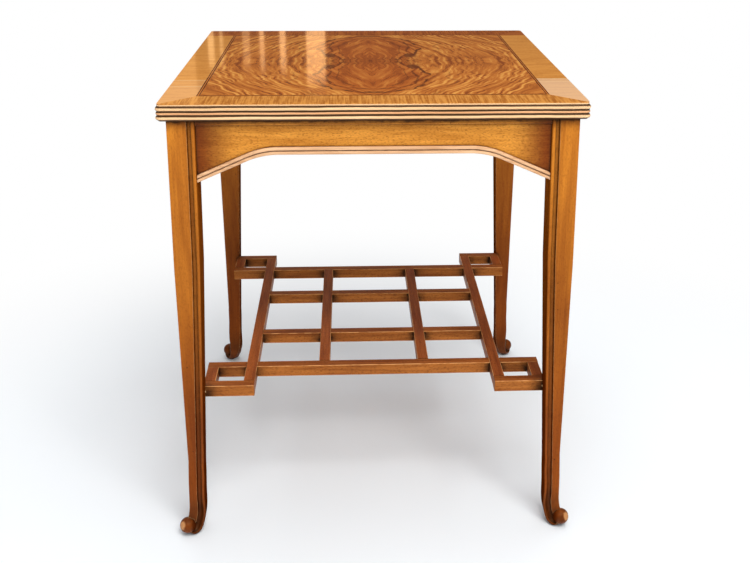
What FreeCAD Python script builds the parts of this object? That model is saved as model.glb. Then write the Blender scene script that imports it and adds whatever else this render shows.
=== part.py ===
import FreeCAD, Part
import os

import Sketcher
from math import cos, hypot, radians, sin, sqrt

# Occasional table with a square veneered top on four tapering legs, arched
# aprons and an open lattice undershelf.
# +X to the right, +Y away from the front, +Z up. The origin lies on the floor
# under the middle of the top. Lengths are millimetres.

# Every driving size, by name: its value and what it measures.
SIZES = {
    # Top
    "table_height": 776.0,        # floor to the veneered surface
    "top_side": 660.0,            # side of the flat square surface
    "edge_height": 27.0,          # surface to the underside of the moulded edge
    "lip_depth": 14.0,            # edge moulding, from the core to the surface's edge
    "veneer_thickness": 1.2,
    "band_width": 52.7,           # crossbanding, from the edge to the stringing
    "string_width": 5.6,          # inlaid line between crossbanding and centre
    "quirk_drop": 3.1,            # surface to the upper side of the quirk
    "quirk_height": 1.5,
    "quirk_depth": 1.8,
    "upper_reed": 6.8,            # height of each reed, from the quirk down
    "middle_reed": 5.2,
    "lower_reed": 6.8,
    "reed_gap": 0.9,              # flat bottom of each groove between two reeds
    "edge_undercut": 1.8,         # how far the moulding draws in under its last reed
    "corner_round": 6.0,          # radius of the surface's four corners, in plan
    # Legs
    "leg_inset": 11.1,            # top's edge to the outer face of a leg, at the top
    "leg_width_top": 43.7,
    "leg_width_knee": 42.3,
    "leg_width_ankle": 27.1,
    "splay_to_knee": 5.2,         # how far the inner faces lean out from top to knee
    "splay_to_ankle": 16.1,       # and from the knee to the ankle
    "knee_height": 506.5,
    "ankle_height": 143.2,
    "bead_width_top": 7.5,
    "bead_width_ankle": 5.7,
    "cove_width_top": 5.5,
    "cove_width_ankle": 7.7,
    "cove_depth_top": 1.9,
    "cove_depth_ankle": 3.1,
    "heel_ease": 1.2,             # small flat on the inner arris of a leg
    # Carved foot, which turns out along the diagonal
    "foot_height": 45.0,          # floor to the neck above the toe
    "toe_radius": 14.0,
    "toe_reach": 7.6,             # leg's outer arris to the toe's middle, each way
    "toe_rise": 4.5,              # floor to the toe's underside
    "sole_half_width": 6.7,
    # Aprons
    "apron_recess": 5.0,          # outer face of a leg to the face of the apron
    "apron_thickness": 20.0,
    "apron_end_height": 101.7,    # at the legs
    "apron_middle_height": 57.2,  # over the flat of the arch
    "haunch_length": 75.6,        # leg to the arch's turn
    "turn_length": 52.1,          # across the turn, from the haunch to the flat
    "turn_drop": 11.3,            # from the flat to where the haunch begins
    "tenon_thickness": 8.0,
    "tenon_length": 18.0,
    "tenon_shoulder": 8.0,        # apron's edge to the tenon, above and below
    "reeding_height": 12.3,       # applied reeding along the arch
    "reeding_depth": 4.0,
    "reeding_groove": 1.2,
    "reeding_groove_depth": 2.2,
    "reeding_round": 1.8,
    "frieze_bead_height": 10.0,   # bead under the top, between the legs
    "frieze_bead_depth": 4.5,
    "frieze_bead_round": 3.0,
    # Blocks and screws that hold the top
    "block_length": 110.0,
    "block_depth": 24.0,
    "block_height": 30.0,
    "screw_place": 36.0,          # middle of an apron to each of its two screws
    "screw_head_diameter": 9.5,
    "screw_head_height": 4.0,
    "screw_diameter": 5.0,
    "screw_bite": 14.0,           # screw's thread in the top
    # Lattice shelf
    "shelf_height": 274.4,        # floor to the top of the rails
    "rail_width": 19.5,
    "rail_depth": 20.6,
    "rail_round": 1.5,
    "shelf_seat": 3.9,            # how far the shelf's corners go into the legs
    "corner_square": 77.4,        # shelf's outer face to the middle of a long rail
    "inner_line": 88.8,           # middle of the table to the middle of an inner rail
    "stub_length": 6.0,           # stub tenon of a rail
    "stub_height": 10.5,
    "stub_thickness": 8.0,
    "dowel_diameter": 7.0,        # hidden dowel from shelf corner to leg
    "dowel_length": 26.0,
    # Workshop values
    "joint_gap": 0.2,             # at the bottom of a mortise, a hole or a notch
    "overrun": 5.0,               # how far a cutting shape passes its stock
}

QUARTER_TURN = 90
DIAGONAL_ANGLE = QUARTER_TURN / 2
REED_RADIUS_SHARE = 0.51          # of a reed's height
CORNER_SWEEP = 60                 # degrees cut round a corner, past the mitre
MATCH_SHARE = 0.001               # of a rounding, how near an edge must lie to a face
SIDES = ("front", "right", "back", "left")
CORNERS = ("front_left", "front_right", "back_right", "back_left")

# Carved foot, station by station from the ankle to the toe. Each has the tilt
# of its section in degrees, then shares: the neck's place out (of the ankle's
# diagonal) and up (of foot_height), depth and half width (of that diagonal),
# the rim's place (of the depth) and half width (of the station's), the sole's
# width (of sole_half_width) and the hollow's depth (of the ankle's cove).
FOOT_SHARES = (
    (0, 0.03, 2.80, 1.00, 0.50, 0.50, 1.00, 0.17, 1.00),
    (2, 0.09, 1.90, 1.00, 0.50, 0.50, 1.00, 0.20, 1.10),
    (14, 0.11, 1.36, 1.00, 0.50, 0.53, 1.00, 0.35, 1.40),
    (35, 0.14, 1.06, 1.02, 0.48, 0.66, 0.98, 0.60, 1.70),
    (54, 0.18, 0.89, 1.01, 0.46, 0.80, 0.94, 0.85, 1.70),
    (66, 0.23, 0.77, 0.97, 0.44, 0.87, 0.92, 1.00, 1.50),
    (75, 0.29, 0.69, 0.86, 0.42, 0.88, 0.90, 0.90, 1.10),
    (85, 0.38, 0.62, 0.50, 0.36, 0.80, 0.94, 0.60, 0.00),
)
SECTION_WAIST_SHARE = 0.5         # of a section's depth, where it is widest
SECTION_RIM_SHARE = 0.4           # begins the rim
SECTION_HEEL_SHARE = 0.9          # begins the heel

doc = FreeCAD.newDocument("OccasionalTable")
sheet = doc.addObject("Spreadsheet::Sheet", "Sizes")


class Size:
    """A length with its number and the formula that binds it to the sheet."""

    def __init__(self, number, formula):
        self.number = number
        self.formula = formula

    def joined(self, sign, other, number):
        text = other.formula if isinstance(other, Size) else repr(other)
        return Size(number, "(%s %s %s)" % (self.formula, sign, text))

    def __add__(self, other):
        return self.joined("+", other, self.number + number_of(other))

    def __radd__(self, other):
        return self + other

    def __sub__(self, other):
        return self.joined("-", other, self.number - number_of(other))

    def __mul__(self, share):
        return self.joined("*", share, self.number * number_of(share))

    def __truediv__(self, share):
        return self.joined("/", share, self.number / number_of(share))

    def __neg__(self):
        return Size(-self.number, "(0 - %s)" % self.formula)


def number_of(size):
    """The plain number of a size, a share or a zero."""
    return size.number if isinstance(size, Size) else float(size)


def fill_sheet():
    """Write every driving size into the sheet, with its name as alias."""
    for row, (alias, value) in enumerate(SIZES.items(), start=1):
        cell = "B%d" % row
        sheet.set("A%d" % row, alias)
        sheet.set(cell, str(value))
        sheet.setAlias(cell, alias)
    doc.recompute()


def size(alias):
    """The named size, read from the sheet."""
    return Size(float(sheet.get(alias)), "Sizes.%s" % alias)


def bind(target, prop, length):
    """Bind a property to a size, or set it where the length is zero."""
    if isinstance(length, Size):
        target.setExpression(prop, length.formula)


# Sketches and features

def new_body(name, turns=0):
    """A body whose label names the piece, turned about the table's middle."""
    body = doc.addObject("PartDesign::Body", name)
    body.Label = name
    spin = FreeCAD.Rotation(FreeCAD.Vector(0, 0, 1), QUARTER_TURN * turns)
    body.Placement = FreeCAD.Placement(FreeCAD.Vector(), spin)
    return body


def new_sketch(body, name, role, start):
    """A sketch on one of the body's own planes, moved along its normal."""
    sketch = body.newObject("Sketcher::SketchObject", name)
    planes = [plane for plane in body.Origin.OriginFeatures if plane.Role == role]
    sketch.AttachmentSupport = [(planes[0], "")]
    sketch.MapMode = "FlatFace"
    shift = FreeCAD.Vector(0, 0, number_of(start))
    sketch.AttachmentOffset = FreeCAD.Placement(shift, FreeCAD.Rotation())
    bind(sketch, "AttachmentOffset.Base.z", start)
    return sketch


def arc_geometry(start, end, radius, side):
    """The arc from start to end that bulges right (side +1) or left (-1)."""
    chord = end - start
    half = chord.Length / 2
    outward = FreeCAD.Vector(chord.y, -chord.x, 0).normalize() * side
    centre = (start + end) / 2 - outward * sqrt(max(radius * radius - half * half, 0.0))
    circle = Part.Circle(centre, FreeCAD.Vector(0, 0, 1), radius)
    first, last = (start, end) if side > 0 else (end, start)
    return Part.ArcOfCircle(circle, circle.parameter(first), circle.parameter(last))


def pin(sketch, geometry, end, x, y):
    """Bind the place of one end of a line or an arc."""
    for kind, length in (("DistanceX", x), ("DistanceY", y)):
        number = sketch.addConstraint(Sketcher.Constraint(
            kind, -1, 1, geometry, end, number_of(length)))
        bind(sketch, "Constraints[%d]" % number, length)


def draw_outline(sketch, corners):
    """Draw a closed outline, counterclockwise, and bind every corner's place.

    A corner is (x, y) where a straight line leaves it. It is (x, y, radius,
    side) where an arc does, which bulges outward for side +1, inward for -1.
    """
    points = [FreeCAD.Vector(number_of(c[0]), number_of(c[1]), 0) for c in corners]
    first = sketch.GeometryCount
    count = len(corners)
    ends = []
    for index, corner in enumerate(corners):
        start, end = points[index], points[(index + 1) % count]
        if len(corner) > 2:
            sketch.addGeometry(arc_geometry(start, end, number_of(corner[2]), corner[3]), False)
            ends.append((1, 2) if corner[3] > 0 else (2, 1))
        else:
            sketch.addGeometry(Part.LineSegment(start, end), False)
            ends.append((1, 2))
    for index, corner in enumerate(corners):
        before = (index - 1) % count
        here = (first + index, ends[index][0])
        sketch.addConstraint(Sketcher.Constraint(
            "Coincident", first + before, ends[before][1], here[0], here[1]))
        pin(sketch, here[0], here[1], corner[0], corner[1])
        if len(corner) > 2:
            number = sketch.addConstraint(Sketcher.Constraint(
                "Radius", here[0], number_of(corner[2])))
            bind(sketch, "Constraints[%d]" % number, corner[2])


def rectangle(left, low, right, high):
    """The four corners of an upright rectangle."""
    return [(left, low), (right, low), (right, high), (left, high)]


def eased_rectangle(left, low, right, high, radius):
    """A rectangle with its four corners rounded."""
    return [
        (left + radius, low), (right - radius, low, radius, 1),
        (right, low + radius), (right, high - radius, radius, 1),
        (right - radius, high), (left + radius, high, radius, 1),
        (left, high - radius), (left, low + radius, radius, 1),
    ]


def extrude(body, kind, name, role, start, length, outlines):
    """Pad or pocket the outlines from the start along the plane's normal."""
    sketch = new_sketch(body, name + "Sketch", role, start)
    for corners in outlines:
        draw_outline(sketch, corners)
    feature = body.newObject("PartDesign::" + kind, name)
    feature.Profile = sketch
    feature.Length = number_of(length)
    bind(feature, "Length", length)
    feature.Reversed = kind == "Pocket"
    return feature


def pad(body, name, role, start, length, *outlines):
    """Add stock. The plane's normal is +Z, the front (-Y) or +X."""
    return extrude(body, "Pad", name, role, start, length, outlines)


def pocket(body, name, role, start, length, *outlines):
    """Cut stock away, along the same directions as pad."""
    return extrude(body, "Pocket", name, role, start, length, outlines)


def move(body, x, y, z, turns=0):
    """Turn a body by quarter turns and bind its place to sizes."""
    spin = FreeCAD.Rotation(FreeCAD.Vector(0, 0, 1), QUARTER_TURN * turns)
    base = FreeCAD.Vector(number_of(x), number_of(y), number_of(z))
    body.Placement = FreeCAD.Placement(base, spin)
    for axis, length in (("x", x), ("y", y), ("z", z)):
        bind(body, "Placement.Base." + axis, length)


fill_sheet()

# Heights and half widths that several pieces share

OVERRUN = size("overrun")
GAP = size("joint_gap")
TOP_HALF = size("top_side") / 2
CORE_HALF = TOP_HALF - size("lip_depth")
CORNER_ROUND = size("corner_round")
CORNER_AXIS = TOP_HALF - CORNER_ROUND
SURFACE = size("table_height")
VENEER_UNDER = SURFACE - size("veneer_thickness")
TOP_UNDER = SURFACE - size("edge_height")
STRING_OUTER = TOP_HALF - size("band_width")
STRING_INNER = STRING_OUTER - size("string_width")

LEG_OUTER_TOP = TOP_HALF - size("leg_inset")
LEG_INNER_TOP = LEG_OUTER_TOP - size("leg_width_top")
LEG_INNER_KNEE = LEG_INNER_TOP + size("splay_to_knee")
LEG_INNER_ANKLE = LEG_INNER_KNEE + size("splay_to_ankle")
APRON_FACE = LEG_OUTER_TOP - size("apron_recess")
APRON_BACK = APRON_FACE - size("apron_thickness")
APRON_LOW = TOP_UNDER - size("apron_end_height")
ARCH_HIGH = TOP_UNDER - size("apron_middle_height")
TENON_FACE = APRON_BACK + (size("apron_thickness") + size("tenon_thickness")) / 2
TENON_LOW = APRON_LOW + size("tenon_shoulder")
TENON_HIGH = TOP_UNDER - size("tenon_shoulder")
TENON_END = LEG_INNER_TOP + size("tenon_length")

RAIL_HALF = size("rail_width") / 2
SHELF_TOP = size("shelf_height")
SHELF_UNDER = SHELF_TOP - size("rail_depth")
SHELF_MIDDLE = SHELF_TOP - size("rail_depth") / 2
SHELF_DROP = (size("knee_height") - SHELF_MIDDLE) / (size("knee_height") - size("ankle_height"))
SHELF_HALF = LEG_INNER_KNEE + size("splay_to_ankle") * SHELF_DROP + size("shelf_seat")
OUTER_LINE = SHELF_HALF - size("corner_square")
INNER_LINE = size("inner_line")
CORNER_LINE = SHELF_HALF - RAIL_HALF
STUB_HALF = size("stub_thickness") / 2
STUB_LOW = SHELF_MIDDLE - size("stub_height") / 2
STUB_HIGH = SHELF_MIDDLE + size("stub_height") / 2


def leg_inner_at(height):
    """How far the inner faces of the legs stand from the middle, above the knee."""
    drop = (TOP_UNDER - height) / (TOP_UNDER - size("knee_height"))
    return LEG_INNER_TOP + size("splay_to_knee") * drop


# Top

def top_core():
    """The groundwork board under the veneers, with pilot holes for its screws."""
    body = new_body("top_core")
    pad(body, "Board", "XY_Plane", TOP_UNDER, VENEER_UNDER - TOP_UNDER,
        rectangle(-CORE_HALF, -CORE_HALF, CORE_HALF, CORE_HALF))
    for turns, name in enumerate(SIDES):
        bore(body, "Pilots" + name.capitalize(), TOP_UNDER - OVERRUN,
             OVERRUN + size("screw_bite") + GAP, size("screw_diameter") / 2, turns)
    return body


def edge_moulding(side, turns):
    """One mitred side of the moulded edge, its ends turned round the corners."""
    body = new_body("edge_moulding_" + side, turns)
    stock = [(-CORE_HALF, TOP_UNDER), (-CORE_HALF, VENEER_UNDER)]
    reach = TOP_HALF + OVERRUN
    pad(body, "Moulding", "YZ_Plane", -reach, reach * 2, stock + moulded_face())
    root = CORE_HALF - OVERRUN
    pocket(body, "Mitres", "XY_Plane", TOP_UNDER - OVERRUN, size("edge_height") + OVERRUN * 2,
           [(root, -root), (reach + OVERRUN, -(reach + OVERRUN)), (reach + OVERRUN, -root)],
           [(-root, -root), (-(reach + OVERRUN), -root), (-(reach + OVERRUN), -(reach + OVERRUN))])
    turn_corner(body, "RightTurn", CORNER_AXIS, False)
    turn_corner(body, "LeftTurn", -CORNER_AXIS, True)
    return body


def moulded_face():
    """The moulding's outer line from the top down: a quirk over three reeds."""
    height = SURFACE - size("quirk_drop")
    quirk = TOP_HALF - size("quirk_depth")
    line = [(-TOP_HALF, VENEER_UNDER), (-TOP_HALF, height), (-quirk, height)]
    height = height - size("quirk_height")
    line += [(-quirk, height)]
    for name in ("upper_reed", "middle_reed", "lower_reed"):
        line += [(-TOP_HALF, height, size(name) * REED_RADIUS_SHARE, 1)]
        height = height - size(name)
        line += [(-TOP_HALF, height)]
        height = height - size("reed_gap")
    return line + [(-(TOP_HALF - size("edge_undercut")), TOP_UNDER)]


def drawn_back(line):
    """The same line from its end to its start, its arcs with it."""
    back = []
    for index in range(len(line) - 1, -1, -1):
        arc = line[index - 1][2:] if index else ()
        back.append(line[index][:2] + ((arc[0], -arc[1]) if arc else ()))
    return back


def turn_corner(body, name, place, leftward):
    """Cut what stands outside the moulding's line as it turns a corner."""
    sketch = new_sketch(body, name + "Sketch", "YZ_Plane", place)
    back = drawn_back(moulded_face())
    clear = -(TOP_HALF + OVERRUN * 2)
    low, high = TOP_UNDER - OVERRUN, VENEER_UNDER + OVERRUN
    draw_outline(sketch, [(clear, low), (back[0][0], low)] + back
                 + [(back[-1][0], high), (clear, high)])
    ends = [FreeCAD.Vector(-number_of(CORNER_AXIS), number_of(end), 0) for end in (low, high)]
    axis = sketch.addGeometry(Part.LineSegment(*ends), True)
    pin(sketch, axis, 1, -CORNER_AXIS, low)
    pin(sketch, axis, 2, -CORNER_AXIS, high)
    groove = body.newObject("PartDesign::Groove", name)
    groove.Profile = sketch
    groove.ReferenceAxis = (sketch, ["Axis0"])
    groove.Angle = CORNER_SWEEP
    groove.Reversed = leftward


def crossband(side, turns):
    """Crossbanding along one side, mitred, its outer corners rounded."""
    body = new_body("crossband_" + side, turns)
    mitre = CORNER_AXIS + CORNER_ROUND * cos(radians(DIAGONAL_ANGLE))
    pad(body, "Strip", "XY_Plane", VENEER_UNDER, size("veneer_thickness"),
        [(-CORNER_AXIS, -TOP_HALF), (CORNER_AXIS, -TOP_HALF, CORNER_ROUND, 1), (mitre, -mitre),
         (STRING_OUTER, -STRING_OUTER), (-STRING_OUTER, -STRING_OUTER),
         (-mitre, -mitre, CORNER_ROUND, 1)])
    return body


def stringing(side, turns):
    """The inlaid line along one side, mitred."""
    body = new_body("stringing_" + side, turns)
    pad(body, "Strip", "XY_Plane", VENEER_UNDER, size("veneer_thickness"),
        [(-STRING_OUTER, -STRING_OUTER), (STRING_OUTER, -STRING_OUTER),
         (STRING_INNER, -STRING_INNER), (-STRING_INNER, -STRING_INNER)])
    return body


def veneer_leaf(corner, turns):
    """One quarter of the matched veneer inside the stringing."""
    body = new_body("veneer_leaf_" + corner, turns)
    pad(body, "Leaf", "XY_Plane", VENEER_UNDER, size("veneer_thickness"),
        rectangle(-STRING_INNER, -STRING_INNER, 0, 0))
    return body


# Aprons

def arch_line(rise):
    """The arched line from the left leg to the right one, raised by rise."""
    low = APRON_LOW + rise
    drop = size("turn_drop")
    turn = ARCH_HIGH - drop + rise
    high = ARCH_HIGH + rise
    turn_half = leg_inner_at(APRON_LOW) - size("haunch_length")
    reach = size("turn_length")
    radius = (reach * reach + drop * drop) / (drop * 2)
    return leg_inner_at(low), low, turn_half, turn, turn_half - reach, high, radius


def arched_outline(rise):
    """The arched line as outline corners, from left to right."""
    end, low, turn_half, turn, flat_half, high, radius = arch_line(rise)
    return [
        (-end, low), (-turn_half, turn, radius, -1), (-flat_half, high),
        (flat_half, high, radius, -1), (turn_half, turn), (end, low),
    ]


def arched_outline_back(rise):
    """The arched line as outline corners, from right to left."""
    end, low, turn_half, turn, flat_half, high, radius = arch_line(rise)
    return [
        (end, low), (turn_half, turn, radius, 1), (flat_half, high),
        (-flat_half, high, radius, 1), (-turn_half, turn), (-end, low),
    ]


def apron(side, turns):
    """An arched apron with a tenon at each end."""
    body = new_body("apron_" + side, turns)
    top = leg_inner_at(TOP_UNDER)
    pad(body, "Board", "XZ_Plane", APRON_BACK, size("apron_thickness"),
        arched_outline(0) + [(top, TOP_UNDER), (-top, TOP_UNDER)])
    root = leg_inner_at(APRON_LOW) - OVERRUN
    start = TENON_FACE - size("tenon_thickness")
    pad(body, "RightTenon", "XZ_Plane", start, size("tenon_thickness"),
        rectangle(root, TENON_LOW, TENON_END, TENON_HIGH))
    pad(body, "LeftTenon", "XZ_Plane", start, size("tenon_thickness"),
        rectangle(-TENON_END, TENON_LOW, -root, TENON_HIGH))
    return body


def arch_reeding(side, turns):
    """Two applied reeds with a groove between them along the arch."""
    body = new_body("arch_reeding_" + side, turns)
    height = size("reeding_height")
    depth = size("reeding_depth")
    pad(body, "Band", "XZ_Plane", APRON_FACE, depth,
        arched_outline(0) + arched_outline_back(height))
    low = (height - size("reeding_groove")) / 2
    pocket(body, "Groove", "XZ_Plane", APRON_FACE + depth - size("reeding_groove_depth"),
           size("reeding_groove_depth") + OVERRUN,
           arched_outline(low) + arched_outline_back(low + size("reeding_groove")))
    ease_edges(body, "Reeds", size("reeding_round"), APRON_FACE + depth)
    return body


def ease_edges(body, name, radius, reach):
    """Round the long edges that lie in the body's front face."""
    doc.recompute()
    last = body.Tip
    names = []
    for number, edge in enumerate(last.Shape.Edges, start=1):
        box = edge.BoundBox
        off_face = max(abs(box.YMin + number_of(reach)), abs(box.YMax + number_of(reach)))
        if off_face < number_of(radius) * MATCH_SHARE and box.XLength > box.ZLength:
            names.append("Edge%d" % number)
    feature = body.newObject("PartDesign::Fillet", name)
    feature.Base = (last, names)
    feature.Radius = number_of(radius)
    bind(feature, "Radius", radius)


def frieze_bead(side, turns):
    """A bead close under the top, between two legs."""
    body = new_body("frieze_bead_" + side, turns)
    low = TOP_UNDER - size("frieze_bead_height")
    end = leg_inner_at(low)
    top = leg_inner_at(TOP_UNDER)
    pad(body, "Bead", "XZ_Plane", APRON_FACE, size("frieze_bead_depth"),
        [(-end, low), (end, low), (top, TOP_UNDER), (-top, TOP_UNDER)])
    ease_edges(body, "Round", size("frieze_bead_round"), APRON_FACE + size("frieze_bead_depth"))
    return body


# Blocks and screws that hold the top

def screw_block(side, turns):
    """A block glued behind an apron, bored for two screws up into the top."""
    body = new_body("screw_block_" + side, turns)
    half = size("block_length") / 2
    low = TOP_UNDER - size("block_height")
    back = APRON_BACK - size("block_depth")
    pad(body, "Block", "XY_Plane", low, size("block_height"),
        rectangle(-half, -APRON_BACK, half, -back))
    bore(body, "Bores", low - OVERRUN, size("block_height") + OVERRUN * 2,
         size("screw_diameter") / 2 + GAP)
    bore(body, "Sinks", low - OVERRUN, size("screw_head_height") + GAP + OVERRUN,
         size("screw_head_diameter") / 2 + GAP)
    return body


def screw_spot():
    """Where a front screw stands: to the side, and out from the middle."""
    return size("screw_place"), APRON_BACK - size("block_depth") / 2


def draw_circle(sketch, x, y, radius):
    """Draw a circle and bind its place and radius."""
    middle = FreeCAD.Vector(number_of(x), number_of(y), 0)
    circle = Part.Circle(middle, FreeCAD.Vector(0, 0, 1), number_of(radius))
    geometry = sketch.addGeometry(circle, False)
    for kind, length in (("DistanceX", x), ("DistanceY", y)):
        number = sketch.addConstraint(Sketcher.Constraint(
            kind, -1, 1, geometry, 3, number_of(length)))
        bind(sketch, "Constraints[%d]" % number, length)
    number = sketch.addConstraint(Sketcher.Constraint("Radius", geometry, number_of(radius)))
    bind(sketch, "Constraints[%d]" % number, radius)


def bore(body, name, start, length, radius, turns=0):
    """Two upright round holes at the screws' places on one side of the table."""
    feature = extrude(body, "Pocket", name, "XY_Plane", start, length, [])
    across, out = screw_spot()
    for place in (across, -across):
        spots = ((place, -out), (out, place), (place, out), (-out, place))
        draw_circle(feature.Profile[0], *spots[turns], radius)
    return feature


def top_screws():
    """Eight countersunk screws, two through each block, as separate solids."""
    head_low = TOP_UNDER - size("block_height")
    head_high = head_low + size("screw_head_height")
    tip = TOP_UNDER + size("screw_bite")
    head = Part.makeCylinder(
        (size("screw_head_diameter") / 2).number, size("screw_head_height").number,
        FreeCAD.Vector(0, 0, head_low.number))
    shank = Part.makeCylinder(
        (size("screw_diameter") / 2).number, (tip - head_high).number,
        FreeCAD.Vector(0, 0, head_high.number))
    screw = head.fuse(shank).removeSplitter()
    across, out = screw_spot()
    screws = []
    for turns in range(len(SIDES)):
        for place in (across.number, -across.number):
            copy = screw.copy()
            copy.translate(FreeCAD.Vector(place, -out.number, 0))
            copy.rotate(FreeCAD.Vector(), FreeCAD.Vector(0, 0, 1), QUARTER_TURN * turns)
            screws.append(copy)
    feature = doc.addObject("Part::Feature", "top_screws")
    feature.Label = "top_screws"
    feature.Shape = Part.makeCompound(screws)
    return feature


# Lattice shelf

def rail_section():
    """The section of every shelf rail, with eased arrises, in its own frame."""
    return eased_rectangle(-RAIL_HALF, 0, RAIL_HALF, size("rail_depth"), size("rail_round"))


def rail(name, start, length):
    """A length of rail along X, standing on its own Z = 0."""
    body = new_body(name)
    pad(body, "Rail", "YZ_Plane", start, length, rail_section())
    return body


def stub(body, name, start):
    """A stub tenon at one end of a rail."""
    low = STUB_LOW - SHELF_UNDER
    pad(body, name, "YZ_Plane", start, size("stub_length"),
        rectangle(-STUB_HALF, low, STUB_HALF, low + size("stub_height")))


def mortises(body, name, face, *places):
    """Mortises for stub tenons in a rail's front face (+1) or back face (-1)."""
    low = STUB_LOW - SHELF_UNDER
    depth = size("stub_length") + GAP
    start = RAIL_HALF - depth if face > 0 else -RAIL_HALF - OVERRUN
    outlines = [rectangle(place - STUB_HALF, low, place + STUB_HALF, low + size("stub_height"))
                for place in places]
    pocket(body, name, "XZ_Plane", start, depth + OVERRUN, *outlines)


def notches(body, name, low, high, *places):
    """Halving notches across a rail, as wide as the rail that crosses it."""
    outlines = [rectangle(place - RAIL_HALF, low, place + RAIL_HALF, high) for place in places]
    pocket(body, name, "XZ_Plane", -RAIL_HALF - OVERRUN, (RAIL_HALF + OVERRUN) * 2, *outlines)


def upper_notches(body, *places):
    """Halving notches from above, for the rails that run over this one."""
    notches(body, "Notches", size("rail_depth") / 2, size("rail_depth") + OVERRUN, *places)


def lower_notches(body, *places):
    """Halving notches from below, for the rails that run under this one."""
    notches(body, "Notches", -OVERRUN, size("rail_depth") / 2, *places)


def cross_rail(side, turns):
    """The front or back rail, which runs to both outer faces of the shelf."""
    half = SHELF_HALF
    body = rail("shelf_rail_" + side, -half, half * 2)
    upper_notches(body, -OUTER_LINE, OUTER_LINE)
    mortises(body, "InnerMortises", -1, -INNER_LINE, INNER_LINE)
    mortises(body, "OuterMortises", 1, -CORNER_LINE, CORNER_LINE)
    move(body, 0, -OUTER_LINE if turns == 0 else OUTER_LINE, SHELF_UNDER, turns)
    return body


def side_rail(side, turns):
    """A long rail from front to back, tenoned into the two end rails' backs."""
    half = SHELF_HALF - size("rail_width")
    body = rail("shelf_rail_" + side, -half, half * 2)
    lower_notches(body, -OUTER_LINE, OUTER_LINE)
    stub(body, "NearStub", half)
    stub(body, "FarStub", -half - size("stub_length"))
    mortises(body, "InnerMortises", -1, -INNER_LINE, INNER_LINE)
    move(body, OUTER_LINE if turns == 1 else -OUTER_LINE, 0, SHELF_UNDER, turns)
    return body


def inner_rail(name, place, turns, over):
    """An inner rail between two outer ones, halved with its two crossing ones."""
    half = OUTER_LINE - RAIL_HALF
    body = rail(name, -half, half * 2)
    cut_notches = lower_notches if over else upper_notches
    cut_notches(body, -INNER_LINE, INNER_LINE)
    stub(body, "RightStub", half)
    stub(body, "LeftStub", -half - size("stub_length"))
    across, along = (place, 0) if turns == 1 else (0, place)
    move(body, across, along, SHELF_UNDER, turns)
    return body


def end_rail(corner, across, out):
    """The short rail outside a corner square, parallel to the front."""
    inner = OUTER_LINE - RAIL_HALF
    length = SHELF_HALF - inner
    start = inner if across > 0 else -SHELF_HALF
    body = rail("end_rail_" + corner, start, length)
    mortises(body, "Mortises", out, OUTER_LINE * across, CORNER_LINE * across)
    dowel_bore(body, across, out)
    move(body, 0, CORNER_LINE * out, SHELF_UNDER)
    return body


def dowel_bore(body, across, out):
    """The slanting blind hole for the hidden dowel, from the corner's middle out."""
    sketch = new_sketch(body, "BoreSketch", "YZ_Plane", CORNER_LINE * across)
    slant = DIAGONAL_ANGLE * across * out
    sketch.AttachmentOffset = FreeCAD.Placement(
        sketch.AttachmentOffset.Base, FreeCAD.Rotation(FreeCAD.Vector(0, 1, 0), slant))
    bind(sketch, "AttachmentOffset.Base.z", CORNER_LINE * across)
    draw_circle(sketch, 0, size("rail_depth") / 2, size("dowel_diameter") / 2)
    feature = body.newObject("PartDesign::Pocket", "Bore")
    feature.Profile = sketch
    feature.Length = size("rail_width").number
    bind(feature, "Length", size("rail_width"))
    feature.Reversed = across > 0


def shelf_dowels():
    """Four hidden dowels, one from each shelf corner into its leg."""
    start = CORNER_LINE.number * sqrt(2) + GAP.number
    dowels = []
    for turns in range(len(CORNERS)):
        dowel = Part.makeCylinder(
            size("dowel_diameter").number / 2, size("dowel_length").number,
            FreeCAD.Vector(start, 0, SHELF_MIDDLE.number), FreeCAD.Vector(1, 0, 0))
        dowel.rotate(FreeCAD.Vector(), FreeCAD.Vector(0, 0, 1),
                     QUARTER_TURN * turns + DIAGONAL_ANGLE)
        dowels.append(dowel)
    feature = doc.addObject("Part::Feature", "shelf_dowels")
    feature.Label = "shelf_dowels"
    feature.Shape = Part.makeCompound(dowels)
    return feature


def outer_rail(corner, across, out):
    """The short rail beside a corner square, from the end rail to the long one."""
    inner = OUTER_LINE + RAIL_HALF
    outer = SHELF_HALF - size("rail_width")
    start = inner if out > 0 else -outer
    body = rail("outer_rail_" + corner, start, outer - inner)
    stub(body, "FirstStub", start - size("stub_length"))
    stub(body, "LastStub", start + outer - inner)
    move(body, CORNER_LINE * across, 0, SHELF_UNDER, 1)
    return body


# Legs

def leg_section(inner, width, bead, cove, depth):
    """Corners of half a leg's section, each with the crest of its arc if any.

    It starts beside the inner arris and passes the bead and the cove of one
    outer face. The other half is its mirror image about the diagonal.
    """
    outer = inner + width
    ease = size("heel_ease").number
    half = bead / 2
    quirk = (outer - half, inner + bead)
    brim = (outer, inner + bead + cove)
    run = hypot(brim[0] - quirk[0], brim[1] - quirk[1])
    hollow = (
        (quirk[0] + brim[0]) / 2 - depth * (brim[1] - quirk[1]) / run,
        (quirk[1] + brim[1]) / 2 + depth * (brim[0] - quirk[0]) / run)
    return [
        ((inner + ease, inner), None),
        ((outer - half, inner), (outer, inner + half)),
        (quirk, hollow),
        (brim, None),
        ((outer, outer), None),
    ]


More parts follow.
